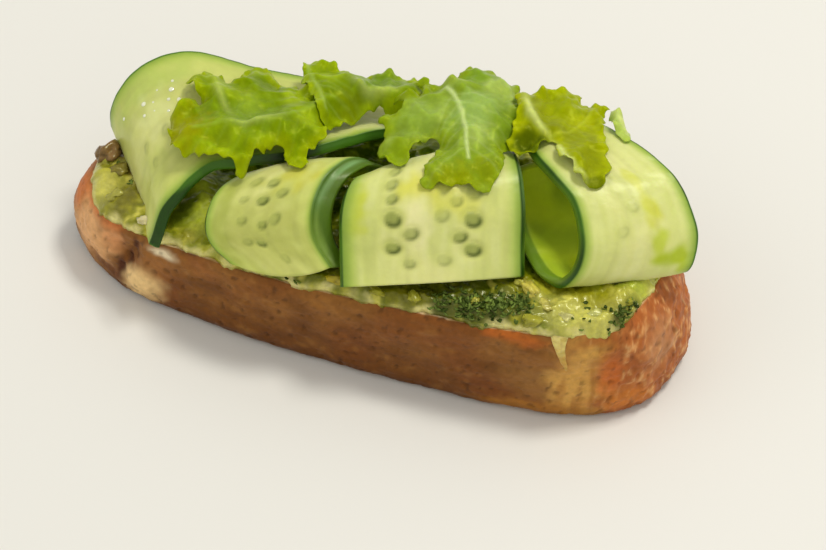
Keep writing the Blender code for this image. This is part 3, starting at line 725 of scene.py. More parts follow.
def crust_tones(points, share, rim):
    """Brown baked skin, darker towards the base as painted shade and patched as above,
    leathery orange at the right end with painted highlight on its folds and painted shade
    in their furrows, and pale crumb where the cut face shows."""
    broad = lumps(points, 16.0, 1.0)
    blotch = lumps(points * (0.7, 0.7, 1.2), 5.0, 4.0)
    fine = lumps(points, 2.0, 8.0)
    speck = lumps(points, 0.8, 15.0)
    fold = crust_wrinkles(points)
    leather = step_up(points[:, 0] + 4 * blotch + 3 * broad, *LEATHER_COLOUR)
    # The leathery end: orange-brown, lighter on the backs of its folds and pale on their ridges,
    # which is painted highlight.
    hide = mix((182, 100, 44), (206, 128, 66), step_up(fold + 0.5 * fine, 0.3, 1.1))
    hide = layered(hide, [
        ((234, 176, 112), 0.8, fold + 0.5 * fine + 0.4 * speck, 0.8, 1.25),
        ((160, 84, 34), 0.5, blotch, 0.0, 0.8)])
    # Darker towards the base and lighter towards the top: painted shade.
    tone = mix((108, 60, 12), (144, 92, 36), step_up(share + 0.2 * blotch, 0.1, 1.0))
    tone = layered(tone, [
        ((122, 62, 16), 0.6, broad, -0.3, 0.7),
        ((168, 116, 54), 0.25, fine + 0.5 * blotch, 0.3, 1.1),
        ((94, 52, 12), 0.3, -blotch, 0.1, 0.9),
        (0.7, 0.45, speck, 0.25, 0.9),
        (1.3, 0.3, -speck, 0.35, 1.0)])
    tone = mix(tone, hide, 0.95 * leather)
    tone = patched(tone, points, CRUST_PATCHES, 0.25 * blotch + 0.12 * fine)
    streak = lumps(points * (1.0, 1.0, 0.16), 1.7, 30.0) * bell(points[:, 0] - 54, 6)
    tone = layered(tone, [
        # painted shade in the furrows of the leathery end
        (0.72, 0.5 * leather * (1 - fold), fine, -0.6, 0.4),
        ((164, 104, 36), 0.6, streak, 0.1, 0.7),
        # painted shade at the foot of the crust
        (0.6, 0.7, -share, -0.2, 0.0)])
    tone = mix(tone, tone * 0.5, 0.7 * crust_pits(points))
    at_tip = bell(np.hypot(points[:, 0] + 69, points[:, 1] - 32), 9)
    crumb = mix((236, 214, 164), (206, 170, 110), step_up(fine, -0.2, 0.7))
    return mix(tone, crumb, step_up(rim, 0.2, 0.8) * (1 - 0.9 * at_tip))


# ---- avocado


def spread_edge(count):
    """The spread's outline, just inside the crust and uneven."""
    outline = smooth_curve(BREAD_OUTLINE, count, closed=True)
    inset = SPREAD_INSET + end_slope(outline[:, 0], 1.0)
    flat = in_plan(outline, SPREAD_EDGE_LEVEL)
    inset += 0.5 * lumps(flat, 9.0) + 0.4 * lumps(flat, 3.2, 6.0) + 0.25 * lumps(flat, 1.4, 8.0)
    inset += 3.5 * bell(np.hypot(outline[:, 0] + 70, outline[:, 1] - 33), 8)
    inset -= swells(outline, SPREAD_PRESSED)
    return outline - outward(outline) * inset[:, None]


def mash_folds(flat):
    """Soft smears of mash, 0 in the creases between them and 1 on their backs."""
    bent = flat + 1.6 * np.column_stack([lumps(flat, 6.0, s) for s in (1.0, 2.0, 3.0)])
    return 1 - np.abs(lumps(bent, 5.2, 13.0)) ** 0.8


def spread_height(points, inside):
    """Depth of avocado at each point, `inside` mm in from the spread's edge."""
    rise = 1 - (1 - np.minimum(inside / SPREAD_SHOULDER, 1.0)) ** 2
    depth = SPREAD_LIP + (SPREAD_DEPTH - SPREAD_LIP) * rise
    flat = in_plan(points, SPREAD_LEVEL)
    depth += SPREAD_LUMP * rise * lumps(flat, SPREAD_LUMP_SIZE)
    depth -= swells(flat[:, :2], SPREAD_DROOPS) * (1 - np.minimum(inside / DROOP_WIDTH, 1.0)) ** 2
    depth += swells(flat[:, :2], SPREAD_SWELLS)
    body = np.minimum(inside / 0.5, 1.0)
    crumbly = step_up(lumps(flat, 9.0, 5.0), -0.4, 0.4)
    crumbly *= 0.45 + 0.55 * step_up(points[:, 0], -56, -42)
    depth += body * (0.8 * (mash_folds(flat) - 0.6) + 0.35 * lumps(flat, 2.6, 3.0)
                     + (0.1 + 0.2 * crumbly) * lumps(flat, 1.2, 5.0)
                     + 0.06 * crumbly * lumps(flat, 0.6, 9.0))
    return depth


def make_spread(material):
    """The layer of mash, in rings from its edge towards its middle, closed underneath."""
    edge = spread_edge(SPREAD_AROUND)
    middle = edge.mean(0)
    reach = norms(edge - middle)
    low = bread_top(edge[:, 0]) - SPREAD_SUNK - swells(edge, SPREAD_DROOPS)
    rows = [np.column_stack([edge, low])]
    insides = [np.zeros(len(edge))]
    for k in range(SPREAD_ROWS):
        share = (k / SPREAD_ROWS) ** RING_CROWDING * RING_LAST
        spot = edge + (middle - edge) * share
        inside = reach * share
        flat = np.column_stack([spot, bread_top(spot[:, 0])])
        flat[:, 2] += GAP + spread_height(flat, inside)
        rows.append(flat)
        insides.append(inside)
    points, inside = np.vstack(rows), np.concatenate(insides)
    return make_piece("avocado_mash", points, tube_faces(len(rows), SPREAD_AROUND), material,
                      spread_tones(points, inside))


# Patches of another colour on the mash: middle and reach in plan, colour and strength.
# They are the creamy right front and edge with a painted shade in the olive hollow under
# ribbon 4, painted light and painted shade on the mash between the first two ribbons, a
# painted shade on the darker front under ribbon 3's edge, the dark green by the herbs,
# and the left end with its pale rim, a painted shadow by ribbon 1's foot, brown tip and
# torn crumb.
SPREAD_PATCHES = [
    ((53, 9.5), (14, 7), (214, 208, 124), 0.75),
    # painted shade in the hollow under ribbon 4
    ((50, 15.5), (12, 4), (142, 138, 8), 0.8),
    ((62, 14.5), (6, 6), (178, 172, 84), 0.6),
    # painted light on the mash between the first two ribbons
    ((-39, 11), (8, 11), (186, 196, 64), 0.9),
    # painted shade on the mash between the first two ribbons
    ((-43.6, 10), (3.4, 4.8), (58, 72, 10), 0.85),
    ((-40, 4), (4, 2.4), (130, 120, 26), 0.6),
    ((65.5, 22), (7, 9), (204, 202, 100), 0.8),
    # painted shade on the front strip under ribbon 3's edge
    ((14, 4), (18, 5), (108, 106, 8), 0.85),
    ((29, 7), (15, 6.5), (76, 84, 12), 0.8),
    ((-61, 14), (9, 14), (168, 160, 62), 0.5),
    ((-65, 12.5), (4.5, 4.5), (206, 200, 116), 0.7),
    # painted shadow by ribbon 1's foot
    ((-56.5, 14), (4, 9), (96, 90, 14), 0.9),
    ((-60, 19), (3, 3), (112, 86, 30), 0.7),
    ((-66, 26), (4, 6), (120, 86, 46), 0.8),
    ((-46, 1), (5, 2.2), (238, 226, 184), 0.8),
]


def spread_tones(points, inside):
    """Mashed avocado: yellow-green backs, olive in the creases as painted shade, cream
    streaks, a broken cream edge, and dark green juice round the chopped herbs."""
    flat = in_plan(points, SPREAD_LEVEL)
    fold = mash_folds(flat)
    broad, mid, fine = lumps(flat, 11.0, 2.0), lumps(flat, 3.4, 7.0), lumps(flat, 1.5, 4.0)
    # olive in the creases between the smears, which is painted shade
    tone = mix((104, 110, 4), (176, 172, 44), step_up(fold + 0.3 * fine, 0.3, 1.0))
    tone = layered(tone, [
        ((88, 104, 0), 0.6, broad + 0.4 * mid, 0.0, 0.8),
        ((222, 212, 110), 0.7, mid + 0.6 * fine, 0.45, 1.0)])
    inner = step_up(points[:, 1], 12, 22) * (1 - step_up(points[:, 1], 46, 56))
    inner *= step_up(points[:, 0], -60, -50)
    green = mix((84, 112, 2), (150, 172, 30), step_up(fine + mid, -0.2, 1.0))
    tone = mix(tone, green, 0.8 * inner)
    tone = patched(tone, flat[:, :2], SPREAD_PATCHES, 0.3 * mid + 0.15 * fine)
    juice = [(middle, 1.3 * spread, (74, 80, 24), 0.85 * step_up(fine, -1.1, 0.1))
             for middle, count, spread in HERBS if count > 15]
    tone = patched(tone, flat[:, :2], juice, 0.3 * mid, 0.4, 1.4)
    tone = tone * (1.0, 1.0, 0.7)
    cream = 1 - step_up(inside + 0.9 * mid + 0.6 * fine, 0.1, 1.3)
    return mix(tone, (232, 222, 142), 0.8 * cream * step_up(lumps(flat, 5.0, 8.0), -0.4, 0.3))


# Lumps of avocado on the mash: place in plan, size along x, y and z, turn in degrees,
# colour. More of them, smaller, are scattered round the edge.
CHUNKS = [
    ((39, 11.6), (5.2, 2.6, 2.2), -38, (214, 200, 84)),
    ((43, 9.2), (3.6, 2.6, 1.9), -30, (206, 196, 96)),
    ((36.4, 13.6), (3, 2.2, 2), 15, (196, 190, 70)),
    ((-60.4, 10.6), (4.6, 3, 2), 50, (172, 168, 74)),
    ((-62.6, 18), (5, 3.4, 2.2), 70, (132, 120, 46)),
    ((-67, 22.4), (6.4, 4.6, 4), 70, (132, 98, 56)),
    ((-65.6, 29), (5.5, 4, 4.4), 40, (104, 88, 34)),
    ((-51, 5), (3.6, 2.4, 1.6), 20, (226, 214, 160)),
    ((-40.6, -0.4), (2.8, 2, 1.6), 10, (204, 160, 60)),
    ((-3, 2), (5, 2.2, 1.6), 5, (186, 168, 46)),
    ((6, 1.6), (4.2, 2.2, 1.8), -8, (160, 156, 32)),
    ((54, 10.8), (4.4, 2.6, 1.6), 20, (206, 206, 116)),
    ((48.6, 7.6), (3.6, 2.4, 1.7), -10, (212, 206, 128)),
]
CHUNKS_SCATTERED = 26
CHUNK_SEED = 11


def make_chunks(trees, material):
    """Uneven lumps of avocado that rest on the mash."""
    random = np.random.default_rng(CHUNK_SEED)
    rim = spread_edge(CHUNKS_SCATTERED)
    heap = list(CHUNKS)
    for spot, out in zip(rim, outward(rim)):
        spot = spot - out * random.uniform(1.0, 4.5)
        size = random.uniform(1.4, 3.0)
        green = random.random()
        colour = (150 + 50 * green, 150 + 42 * green, 30 + 60 * green)
        if spot[0] < -34 or (spot[0] > 45 and spot[1] < 16):
            continue
        heap.append((spot, (size * 1.4, size, size * 0.8), random.uniform(0, 180), colour))
    round_ball, faces = ball()
    shells, colours = [], []
    for index, (spot, size, turn, colour) in enumerate(heap):
        swell = 0.42 * lumps(round_ball, 0.8, 5.0 * index)
        swell += 0.2 * lumps(round_ball, 0.35, 3.0 * index)
        ground = height_below(np.array([spot[:2]], float), trees)[0]
        if ground < bread_top(spot[0]) - 2:
            continue
        shell = round_ball * (1 + swell)[:, None] * size / 2
        angle = math.radians(turn)
        shell[:, :2] = turned(shell[:, 0], shell[:, 1], angle).T + spot[:2]
        shell[:, 2] += ground + 0.02 * size[2]
        shells.append(shell)
        shade = step_up(lumps(shell, 1.6, 2.0), -0.5, 0.8)
        colours.append(mix(linear(colour) * 0.72, colour, shade))
    return make_many("avocado_chunks", shells, faces, material, colours)


# A tongue of thin mash run down over the crust: its middle line and half width, and the
# way that the crust faces there.
DRIP = [((46.8, 7.6, 28.8), 2.8), ((47.8, 5, 27.9), 2.3), ((48.6, 3.2, 26), 1.5),
        ((49.4, 2.4, 23.6), 1), ((50.1, 2.1, 21.4), 0.7), ((50.8, 2.2, 19.2), 0.4),
        ((51.1, 2.4, 18.2), 0.15)]
DRIP_RINGS = 40
DRIP_SIDES = 24
DRIP_OUT = (0.25, -1.0, 0.4)


def make_drip(material):
    """A flattened tapering tube along the drip's line, cream at the top and golden below."""
    line = smooth_curve([(*spot, width) for spot, width in DRIP], DRIP_RINGS)
    forward = unit(np.gradient(line[:, :3], axis=0))
    across = unit(np.cross(forward, DRIP_OUT))
    up = np.cross(across, forward)
    rings = []
    for turn in np.linspace(0, 2 * math.pi, DRIP_SIDES, endpoint=False):
        rings.append(line[:, :3] + across * (line[:, 3] * math.cos(turn))[:, None]
                     + up * (0.35 * np.minimum(line[:, 3], 1.4) * math.sin(turn))[:, None])
    points = np.stack(rings, 1).reshape(-1, 3)
    points += up.repeat(DRIP_SIDES, axis=0) * (0.2 * lumps(points, 1.7, 3.0))[:, None]
    points += across.repeat(DRIP_SIDES, axis=0) * (0.15 * lumps(points, 2.3, 9.0))[:, None]
    faces = tube_faces(DRIP_RINGS, DRIP_SIDES)
    tone = layered((224, 206, 124), [
        ((204, 156, 66), 1.0, 27 - points[:, 2] + 1.5 * lumps(points, 1.5, 6.0), 0, 6),
        ((176, 148, 52), 0.6, lumps(points, 1.2, 3.0), 0.0, 0.8)])
    return make_piece("avocado_drip", points, faces, material, tone)


# Chopped herbs: middle of each cluster in plan, how many flakes and how far they spread.
HERBS = [((27, 3.8), 90, 2.8), ((33, 5.4), 110, 3.2), ((37.8, 7.6), 60, 2.4),
         ((60.6, 11.8), 90, 2.3), ((62, 16.4), 26, 1.8), ((21, 2.6), 40, 2.6),
         ((-55, 15), 10, 3.4), ((-60, 22), 8, 3), ((-13, 2.2), 14, 2),
         ((52, 9), 8, 4), ((0, 62), 12, 4),
         ((-30, 57), 10, 4), ((30, 61), 10, 4)]
HERB_SEED = 5
# Each flake is FLAKE_ROWS rows of three points on both sides. All sizes are in mm.
FLAKE_ROWS = 6
FLAKE_LENGTHS = (0.6, 2.0)
FLAKE_WIDTHS = (0.5, 1.3)
FLAKE_THICKNESS = 0.14


def flake_faces():
    """Quads of a flake whose two sides are rows of three points: both sides and the rim."""
    per_side = FLAKE_ROWS * 3
    quads = np.array(grid_faces(FLAKE_ROWS, 3, wrap=False))
    border = [3 * k for k in range(FLAKE_ROWS)] + [per_side - 2]
    border += [3 * k + 2 for k in range(FLAKE_ROWS - 1, -1, -1)] + [1]
    here, after = np.array(border), np.roll(border, -1)
    rim = np.column_stack([here, after, per_side + after, per_side + here])
    return np.vstack([quads, per_side + quads[:, ::-1], rim])


def make_herbs(mash_tree, material):
    """Small curled flakes, thin and closed, lying on and in the mash."""
    random = np.random.default_rng(HERB_SEED)
    spots = np.vstack([np.array(middle) + random.normal(0, spread * 0.6, (count, 2))
                       for middle, count, spread in HERBS])
    ground = height_below(spots, [mash_tree])
    flakes, colours = [], []
    for spot, height in zip(spots, ground):
        if height < 0:
            continue
        length, width = random.uniform(*FLAKE_LENGTHS), random.uniform(*FLAKE_WIDTHS)
        flake = []
        for side in (0.5, -0.5):
            for along in np.linspace(-1, 1, FLAKE_ROWS):
                half = width / 2 * math.sqrt(max(0.03, 1 - along ** 2)) * random.uniform(0.8, 1.2)
                for across in (-1, 0, 1):
                    curl = 0.25 * along ** 2 - 0.12 * abs(across)
                    flake.append((along * length / 2, across * half,
                                  curl + side * FLAKE_THICKNESS))
        turn = Euler((random.normal(0, 0.35), random.normal(0, 0.3), random.uniform(0, 6.3)))
        sunk = random.uniform(-0.1, 0.25)
        flakes.append(flake @ np.array(turn.to_matrix()).T + (*spot, height + sunk))
        green = mix((36, 54, 4), (116, 136, 58), random.random() ** 1.5)
        colours += [green * random.uniform(0.85, 1.15) for _ in flake]
    return make_many("herb_flakes", flakes, flake_faces(), material, colours)


# ---- cucumber ribbons


def ribbon_edges(shape, along):
    """Points at even steps along both edges, and the unit normals between them."""
    edges = smooth_curve(np.hstack([shape["near"], shape["far"]]), along)
    near, far = edges[:, :3], edges[:, 3:]
    return near, far, unit(np.cross(far - near, np.gradient((near + far) / 2, axis=0)))


def crown_at(shape, across):
    """How far a ribbon's mid surface stands out at a share across."""
    return shape["crown"] * 4 * across * (1 - across) if 0 < across < 1 else 0


def cad_ribbon_corner(shape, along, across):
    """Lowest corner of a ribbon's CAD solid, in the toast's own frame."""
    near, far, normal = ribbon_edges(shape, along)
    points = []
    for w in np.linspace(0, 1, across + 1):
        for side in (0.5, -0.5):
            stand = crown_at(shape, w) + side * RIBBON_THICKNESS
            points.append(near + (far - near) * w + normal * stand)
    return np.vstack(points).min(0)


TO_FRAME = (np.array(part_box("cucumber_ribbon_3")[0]) / MM
            - cad_ribbon_corner(RIBBONS["cucumber_ribbon_3"], *RIBBON_3_STEPS))


def place(points):
    """Metres in the row frame from millimetres in the toast's own frame."""
    return (np.asarray(points) + TO_FRAME) * MM


def cross_section(width, slope):
    """A ribbon's section: distance from its near edge and offset from its mid surface,
    round from the near edge over the top to the far edge and back underneath. slope is
    how far the near and the far wall stand out at the bottom."""
    half = RIBBON_THICKNESS / 2
    inner = np.linspace(RIBBON_MARGIN, width - RIBBON_MARGIN, int(width / RIBBON_STEP))
    rounding = [(RIBBON_CORNER * (1 - math.cos(a)), half - RIBBON_CORNER * (1 - math.sin(a)))
                for a in np.linspace(0, math.pi / 2, 4)]
    top = rounding + [(d, half) for d in inner] + [(width - d, t) for d, t in rounding[::-1]]
    fall = np.linspace(0, 1, WALL_ROWS + 2)[1:-1]
    bulge = WALL_BULGE * np.sin(math.pi * fall)
    level = half - RIBBON_CORNER - fall * (RIBBON_THICKNESS - RIBBON_CORNER - RIBBON_BEVEL)
    far_wall = list(zip(width + slope[1] * fall + bulge, level))
    near_wall = list(zip(-slope[0] * fall - bulge, level))
    bottom = [(width + slope[1], RIBBON_BEVEL - half)]
    bottom += [(d, -half) for d in inner[::-1]]
    bottom += [(-slope[0], RIBBON_BEVEL - half)]
    return np.array(top + far_wall + bottom + near_wall[::-1]), len(top), len(bottom)


def ribbon_skeleton(name):
    """A ribbon's edges and normals at even steps, its width and its length."""
    shape = RIBBONS[name]
    near, far, _ = ribbon_edges(shape, MEASURING_STEPS)
    width = norms(far - near).mean()
    length = norms(np.diff((near + far) / 2, axis=0)).sum()
    near, far, normal = ribbon_edges(shape, int(length / RIBBON_STEP))
    return near, far, normal, width, length


def seed_marks(shape, along_mm, across, width):
    """Cut seeds: 1 on each seed, 1 on its shaded side, and 1 in the jelly round it."""
    seed, shade, jelly = np.zeros((3, len(along_mm)))
    random = np.random.default_rng(len(shape["seeds"]))
    for share, along, strength in shape["seeds"]:
        size = random.uniform(0.8, 1.15) * shape["seed_size"]
        turn = random.normal(0, 0.35)
        u, v = turned(across - share * width, along_mm - along, turn)
        away = np.sqrt((u / (SEED_LENGTH * size)) ** 2 + (v / (SEED_WIDTH * size)) ** 2)
        lower_right = step_up((u - v) / (away + 0.1) / 2, -0.6, 0.9)
        seed = np.maximum(seed, strength * (1 - step_up(away, 0.65, 1.0)))
        shade = np.maximum(shade, strength * lower_right * bell(away - 0.8, 0.28))
        jelly = np.maximum(jelly, strength * (1 - step_up(away, 0.9, 2.0)))
    return seed, shade, jelly


def hang_lip(points, across, tip, reach):
    """Draw a ribbon's front end out into a rounded lip with its tip at a share across."""
    forward = unit(points[0] - points[4])
    from_tip = np.where(across < tip, 1 - across / tip, (across - tip) / (1 - tip))
    for step in range(LIP_STEPS):
        hang = reach * (1 - from_tip ** 2) * (1 - step / LIP_STEPS) ** 2
        points[step] += forward * hang[:, None]


def make_ribbon(name, material):
    """A folded slice: its section carried along its edges, with the seeds pressed in."""
    near, far, normal, width, length = ribbon_skeleton(name)
    shape, along = RIBBONS[name], len(near)
    section, top_count, bottom_count = cross_section(width, shape["slope"])
    ring = len(section)
    columns = []
    for inset, offset in section:
        w = inset / width
        stand = crown_at(shape, w) + offset * shape["outer"]
        columns.append(near + (far - near) * w + normal * stand)
    points = np.stack(columns, 1)
    if shape["lip"] is not None:
        hang_lip(points, np.clip(section[:, 0] / width, 0, 1), *shape["lip"])
    points = points.reshape(-1, 3)
    across = np.tile(section[:, 0], along)
    offset = np.tile(section[:, 1], along)
    along_mm = np.repeat(np.linspace(0, length, along), ring)
    flat = np.column_stack([across, along_mm, np.full(len(across), 7.0 * len(points) % 50)])
    marks = seed_marks(shape, along_mm, across, width)
    wave = 0.28 * lumps(flat, 11.0) + 0.12 * lumps(flat, 3.5, 3.0) + 0.03 * lumps(flat, 1.1, 8.0)
    pit = shape["outer"] * np.sign(offset) * (-0.32 * marks[2] ** 2 + 0.34 * marks[0])
    points = points + np.repeat(normal, ring, axis=0) * (wave + pit)[:, None]
    faces = grid_faces(along, ring, wrap=True)
    for step in (0, along - 1):
        faces += end_cap(step * ring, top_count, bottom_count, ring)
    return make_piece(name.replace("ribbon", "slice"), points, faces, material,
                      ribbon_tones(shape, flat, width, offset, marks))


def end_cap(start, top_count, bottom_count, ring):
    """Faces that close one cut end: strips between the top row and the bottom row."""
    bottom_start = top_count + WALL_ROWS
    under = [bottom_start + bottom_count - 1 - k for k in range(bottom_count)]
    extra = (top_count - bottom_count) // 2
    matched = [under[0]] * extra + under + [under[-1]] * extra
    faces = []
    for k in range(top_count - 1):
        corners = [k, k + 1, matched[k + 1], matched[k]]
        if matched[k] == matched[k + 1]:
            corners = corners[:3]
        faces.append(tuple(start + c for c in corners))
    near_wall = [0, under[0], *range(bottom_start + bottom_count, ring)]
    far_wall = [*range(top_count - 1, bottom_start), under[-1]]
    return faces + [tuple(start + c for c in wall) for wall in (near_wall, far_wall)]


def skin_tones(shape, side, along, edge, offset, fibres, cloud):
    """The skin of the near side, 0, or the far side, 1, `edge` mm in from that edge. On the
    lit side it has painted light and a painted sheen, on the shaded side a painted shade,
    and its lower part is lighter where light is painted as shining through it."""
    dark = mix((30, 66, 6), (64, 110, 18), step_up(fibres + cloud, -0.5, 0.7))
    if side == shape["lit_side"]:
        # painted light on the lit wall, with a painted sheen on its upper part
        painted_sheen = step_up(along + 2 * cloud, 9, 19) * (1 - step_up(-edge, 1.4, 2.8))
        lit = mix((84, 116, 18), (126, 154, 58), step_up(fibres, 0.0, 0.8))
        dark = mix(dark, lit, 0.85)
        dark = mix(dark, (134, 176, 112), painted_sheen * step_up(fibres + 0.6 * cloud, -0.8, 0.6))
    if side == shape["shaded_side"]:
        dark = mix(dark, dark * 0.45, bell(along - 38, 8))
    # lower part lighter: painted light shining through the skin
    return mix(dark, (124, 150, 34), shape["thin"] * step_up(-offset, -0.8, 0.5))


def ribbon_tones(shape, flat, width, offset, marks):
    """Pale flesh, stains, seeds with a painted shade on one side, the inside of the fold
    painted as light shining through it, and at both edges the green bands and the skin."""
    across, along = flat[:, 0], flat[:, 1]
    seed, shade, jelly = marks
    fibres = lumps(flat * (1.0, 0.12, 1.0), 1.6, 4.0)
    cloud = lumps(flat, 8.0, 6.0)
    middle = bell(across / width - 0.5, 0.32)
    tone = mix((200, 208, 106), (220, 220, 138), middle)
    tone = mix(tone, (194, 204, 102), 0.5 * step_up(cloud, -0.2, 0.8))
    tone = mix(tone, (236, 236, 176), shape["pale"] * (0.4 + 0.6 * step_up(fibres, -0.2, 0.9)))
    stains = [((share * width, place_along), reach, colour, strength)
              for share, place_along, *reach, colour, strength in shape["stains"]]
    tone = patched(tone, flat[:, :2], stains, 0.35 * lumps(flat, 2.6, 5.0), 0.3, 1.2)
    tone = mix(tone, (194, 200, 100), 0.6 * jelly)
    tone = mix(tone, (142, 152, 70), 0.8 * seed)
    # painted shade on each seed's lower right side
    tone = mix(tone, (86, 100, 34), 0.95 * shade)
    tone = mix(tone, tone * 0.86, 0.5 * step_up(-fibres, 0.1, 0.9))
    # The underside is painted as light shining through the fold, bright yellow-green, and darker
    # towards the front foot as painted shade.
    under = step_up(-offset, 0.3, 0.9)
    inside = mix((226, 244, 12), (178, 204, 0), step_up(cloud, -0.5, 0.5))
    inside = mix(inside * 0.75, inside, step_up(along, 30, 42))
    tone = mix(tone, inside, 0.9 * under)
    for side, edge in enumerate((across, width - across)):
        band, skin = shape["band"][side], shape["skin"][side]
        if side == 0:
            skin = skin + shape["inner"] * under
        wander = edge + 0.25 * cloud
        tone = mix(tone, (166, 190, 74), 0.75 * (1 - step_up(wander, 0.4 * band, 1.25 * band)))
        tone = mix(tone, (116, 150, 42), 0.8 * (1 - step_up(wander, 0.0, 0.75 * band)))
        dark = skin_tones(shape, side, along, edge, offset, fibres, cloud)
        tone = mix(tone, dark, 1 - step_up(edge, skin - 0.25, skin + 0.12))
    return tone


def make_drops(material):
    """Domes of juice standing on the slices, near white as painted glints."""
    round_ball, faces = ball()
    domes = []
    for name, shape in RIBBONS.items():
        near, far, normal, _, length = ribbon_skeleton(name)
        for share, along_mm, radius in shape["drops"]:
            step = int(along_mm / length * (len(near) - 1))
            out = normal[step] * shape["outer"]
            spot = near[step] + (far[step] - near[step]) * share
            spot = spot + normal[step] * crown_at(shape, share) + out * RIBBON_THICKNESS / 2
            turn = Vector((0, 0, 1)).rotation_difference(Vector(out)).to_matrix()
            domes.append(round_ball * DROP_SHAPE * radius @ np.array(turn).T + spot)
    # near white: painted glints on the drops of juice
    colours = [linear((236, 240, 200))] * sum(map(len, domes))
    return make_many("juice_drops_painted_glint", domes, faces, material, colours)


# ---- lettuce


def side_veins(midrib):
    """Veins that branch off the midrib to both sides and curve towards its tip."""
    line = smooth_curve(midrib, 8)[:, :2]
    veins = []
    for index in range(1, 7):
        forward, = unit(line[index:index + 1] - line[index - 1])
        for side in (-1, 1):
            across = np.array([-forward[1], forward[0]]) * side
            veins.append([line[index] + across * a + forward * b for a, b in VEIN_POINTS])
    return veins


def leaf_outline(shape):
    """The edge in plan: a smooth curve through its tips and notches, finely frilled."""
    edge = np.array(shape["edge"])[:, :2]
    around = norms(edge - np.roll(edge, 1, axis=0)).sum()
    curve = smooth_curve(edge, int(around / LEAF_STEP), closed=True)
    flat = in_plan(curve, edge[0, 0])
    frill = 0.6 * lumps(flat, 3.2, 2.0) + 0.4 * lumps(flat, 1.7, 3.0) + 0.22 * lumps(flat, 0.9, 5.0)
    return curve + outward(curve) * frill[:, None]


def leaf_sheet(outline):
    """Plan points and triangles that fill a leaf's outline."""
    low, high = outline.min(0), outline.max(0)
    across = np.arange(low[0], high[0], LEAF_STEP)
    rows = np.arange(low[1], high[1], LEAF_STEP * math.sqrt(0.75))
    net = np.array([(x + LEAF_STEP / 2 * (k % 2), y) for k, y in enumerate(rows) for x in across])
    net = net[is_inside(net, outline)]
    clear = np.array([np.hypot(*(outline - spot).T).min() for spot in net]) > 0.6 * LEAF_STEP
    corners = [Vector(p) for p in np.vstack([outline, net[clear]])]
    rim = [(k, (k + 1) % len(outline)) for k in range(len(outline))]
    plan, _, faces, _, _, _ = geometry.delaunay_2d_cdt(corners, rim, [], 1, 1e-5)
    return np.array(plan), np.array([tuple(f) for f in faces])


def sheet_normals(points, faces):
    """Normals at the vertices of a triangle sheet."""
    a, b, c = points[faces[:, 0]], points[faces[:, 1]], points[faces[:, 2]]
    normal = np.zeros_like(points)
    for corner in range(3):
        np.add.at(normal, faces[:, corner], np.cross(b - a, c - a))
    return normal / (norms(normal)[:, None] + 1e-12)


def open_edges(faces):
    """Edges that only one triangle has, in that triangle's own direction."""
    directed = [(f[k], f[(k + 1) % 3]) for f in faces.tolist() for k in range(3)]
    known = set(directed)
    return [(a, b) for a, b in directed if (b, a) not in known]


def leaf_veins(shape, plan):
    """1 on the midrib's ridge, and how pale the midrib and its side veins are."""
    distance, part = line_distance(plan, shape["midrib"])
    rib = bell(distance, 0.55 - 0.2 * part)
    vein = rib * shape.get("rib", 0.5)
    for line in side_veins(shape["midrib"]):
        distance, part = line_distance(plan, line)
        vein = np.maximum(vein, (0.22 - 0.2 * part) * bell(distance, 0.3))
    return rib, vein


def leaf_folds(shape, plan):
    """How pale the leaf's curled folds are, partly as painted highlight on their ridges, and
    how far they stand up.
    """
    pale, lift = np.zeros((2, len(plan)))
    for line in shape["folds"]:
        distance, part = line_distance(plan, line)
        ends = np.sin(math.pi * (0.08 + 0.84 * part))
        pale = np.maximum(pale, bell(distance, 0.8) * ends * shape.get("pale", 1.0))
        lift += 0.8 * bell(distance, 1.0) * ends
    return pale, lift


def make_leaf(name, trees, material):
    """A frilled and crumpled sheet, draped over what lies below, with a thin underside."""
    shape = LEAVES[name]
    outline = leaf_outline(shape)
    plan, faces = leaf_sheet(outline)
    flat = in_plan(plan, shape["edge"][0][0])
    from_edge, _ = line_distance(plan, np.vstack([outline, outline[:1]]))
    knots = np.array(shape["edge"] + shape["inside"] + sum(shape["folds"], shape["midrib"]), float)
    near_edge = np.exp(-from_edge / FRILL_REACH)
    crumple = 1 - np.abs(lumps(flat, 5.2, 12.0))
    blister = cells(flat, 2.3, 3.0)
    rib, vein = leaf_veins(shape, plan)
    pale, lift = leaf_folds(shape, plan)
    z = bent_plate(knots, LEAF_SOFTNESS)(plan) + lift
    z += near_edge * (2.2 * lumps(flat, 3.6, 1.0) + 0.8 * lumps(flat, 1.7, 6.0) - 0.5)
    z += 0.8 * lumps(flat, 5.5, 4.0) + 0.9 * (crumple - 0.7)
    z += 0.22 * rib - 0.2 * vein * (1 - rib) + 0.16 * (blister - 0.6) * (1 - near_edge)
    rest = height_below(plan, trees) + LEAF_CLEARANCE
    z = np.maximum(z, rest) + 0.35 * np.exp(-np.abs(z - rest) / 0.5)
    middle = np.column_stack([plan, z])
    half = LEAF_THICKNESS / 2 * (0.45 + 0.55 * np.minimum(1, from_edge / 0.8))[:, None]
    half = half * sheet_normals(middle, faces)
    count = len(plan)
    all_faces = faces.tolist() + (faces[:, ::-1] + count).tolist()
    all_faces += [(b, a, count + a, count + b) for a, b in open_edges(faces)]
    tones = leaf_tones(shape, flat, from_edge, pale, vein, crumple * (0.6 + 0.4 * blister))
    colours = np.vstack([tones, mix(tones, (150, 170, 40), 0.3)])
    return make_piece(name.replace("_leaf", ""), np.vstack([middle + half, middle - half]),
                      all_faces, material, colours)


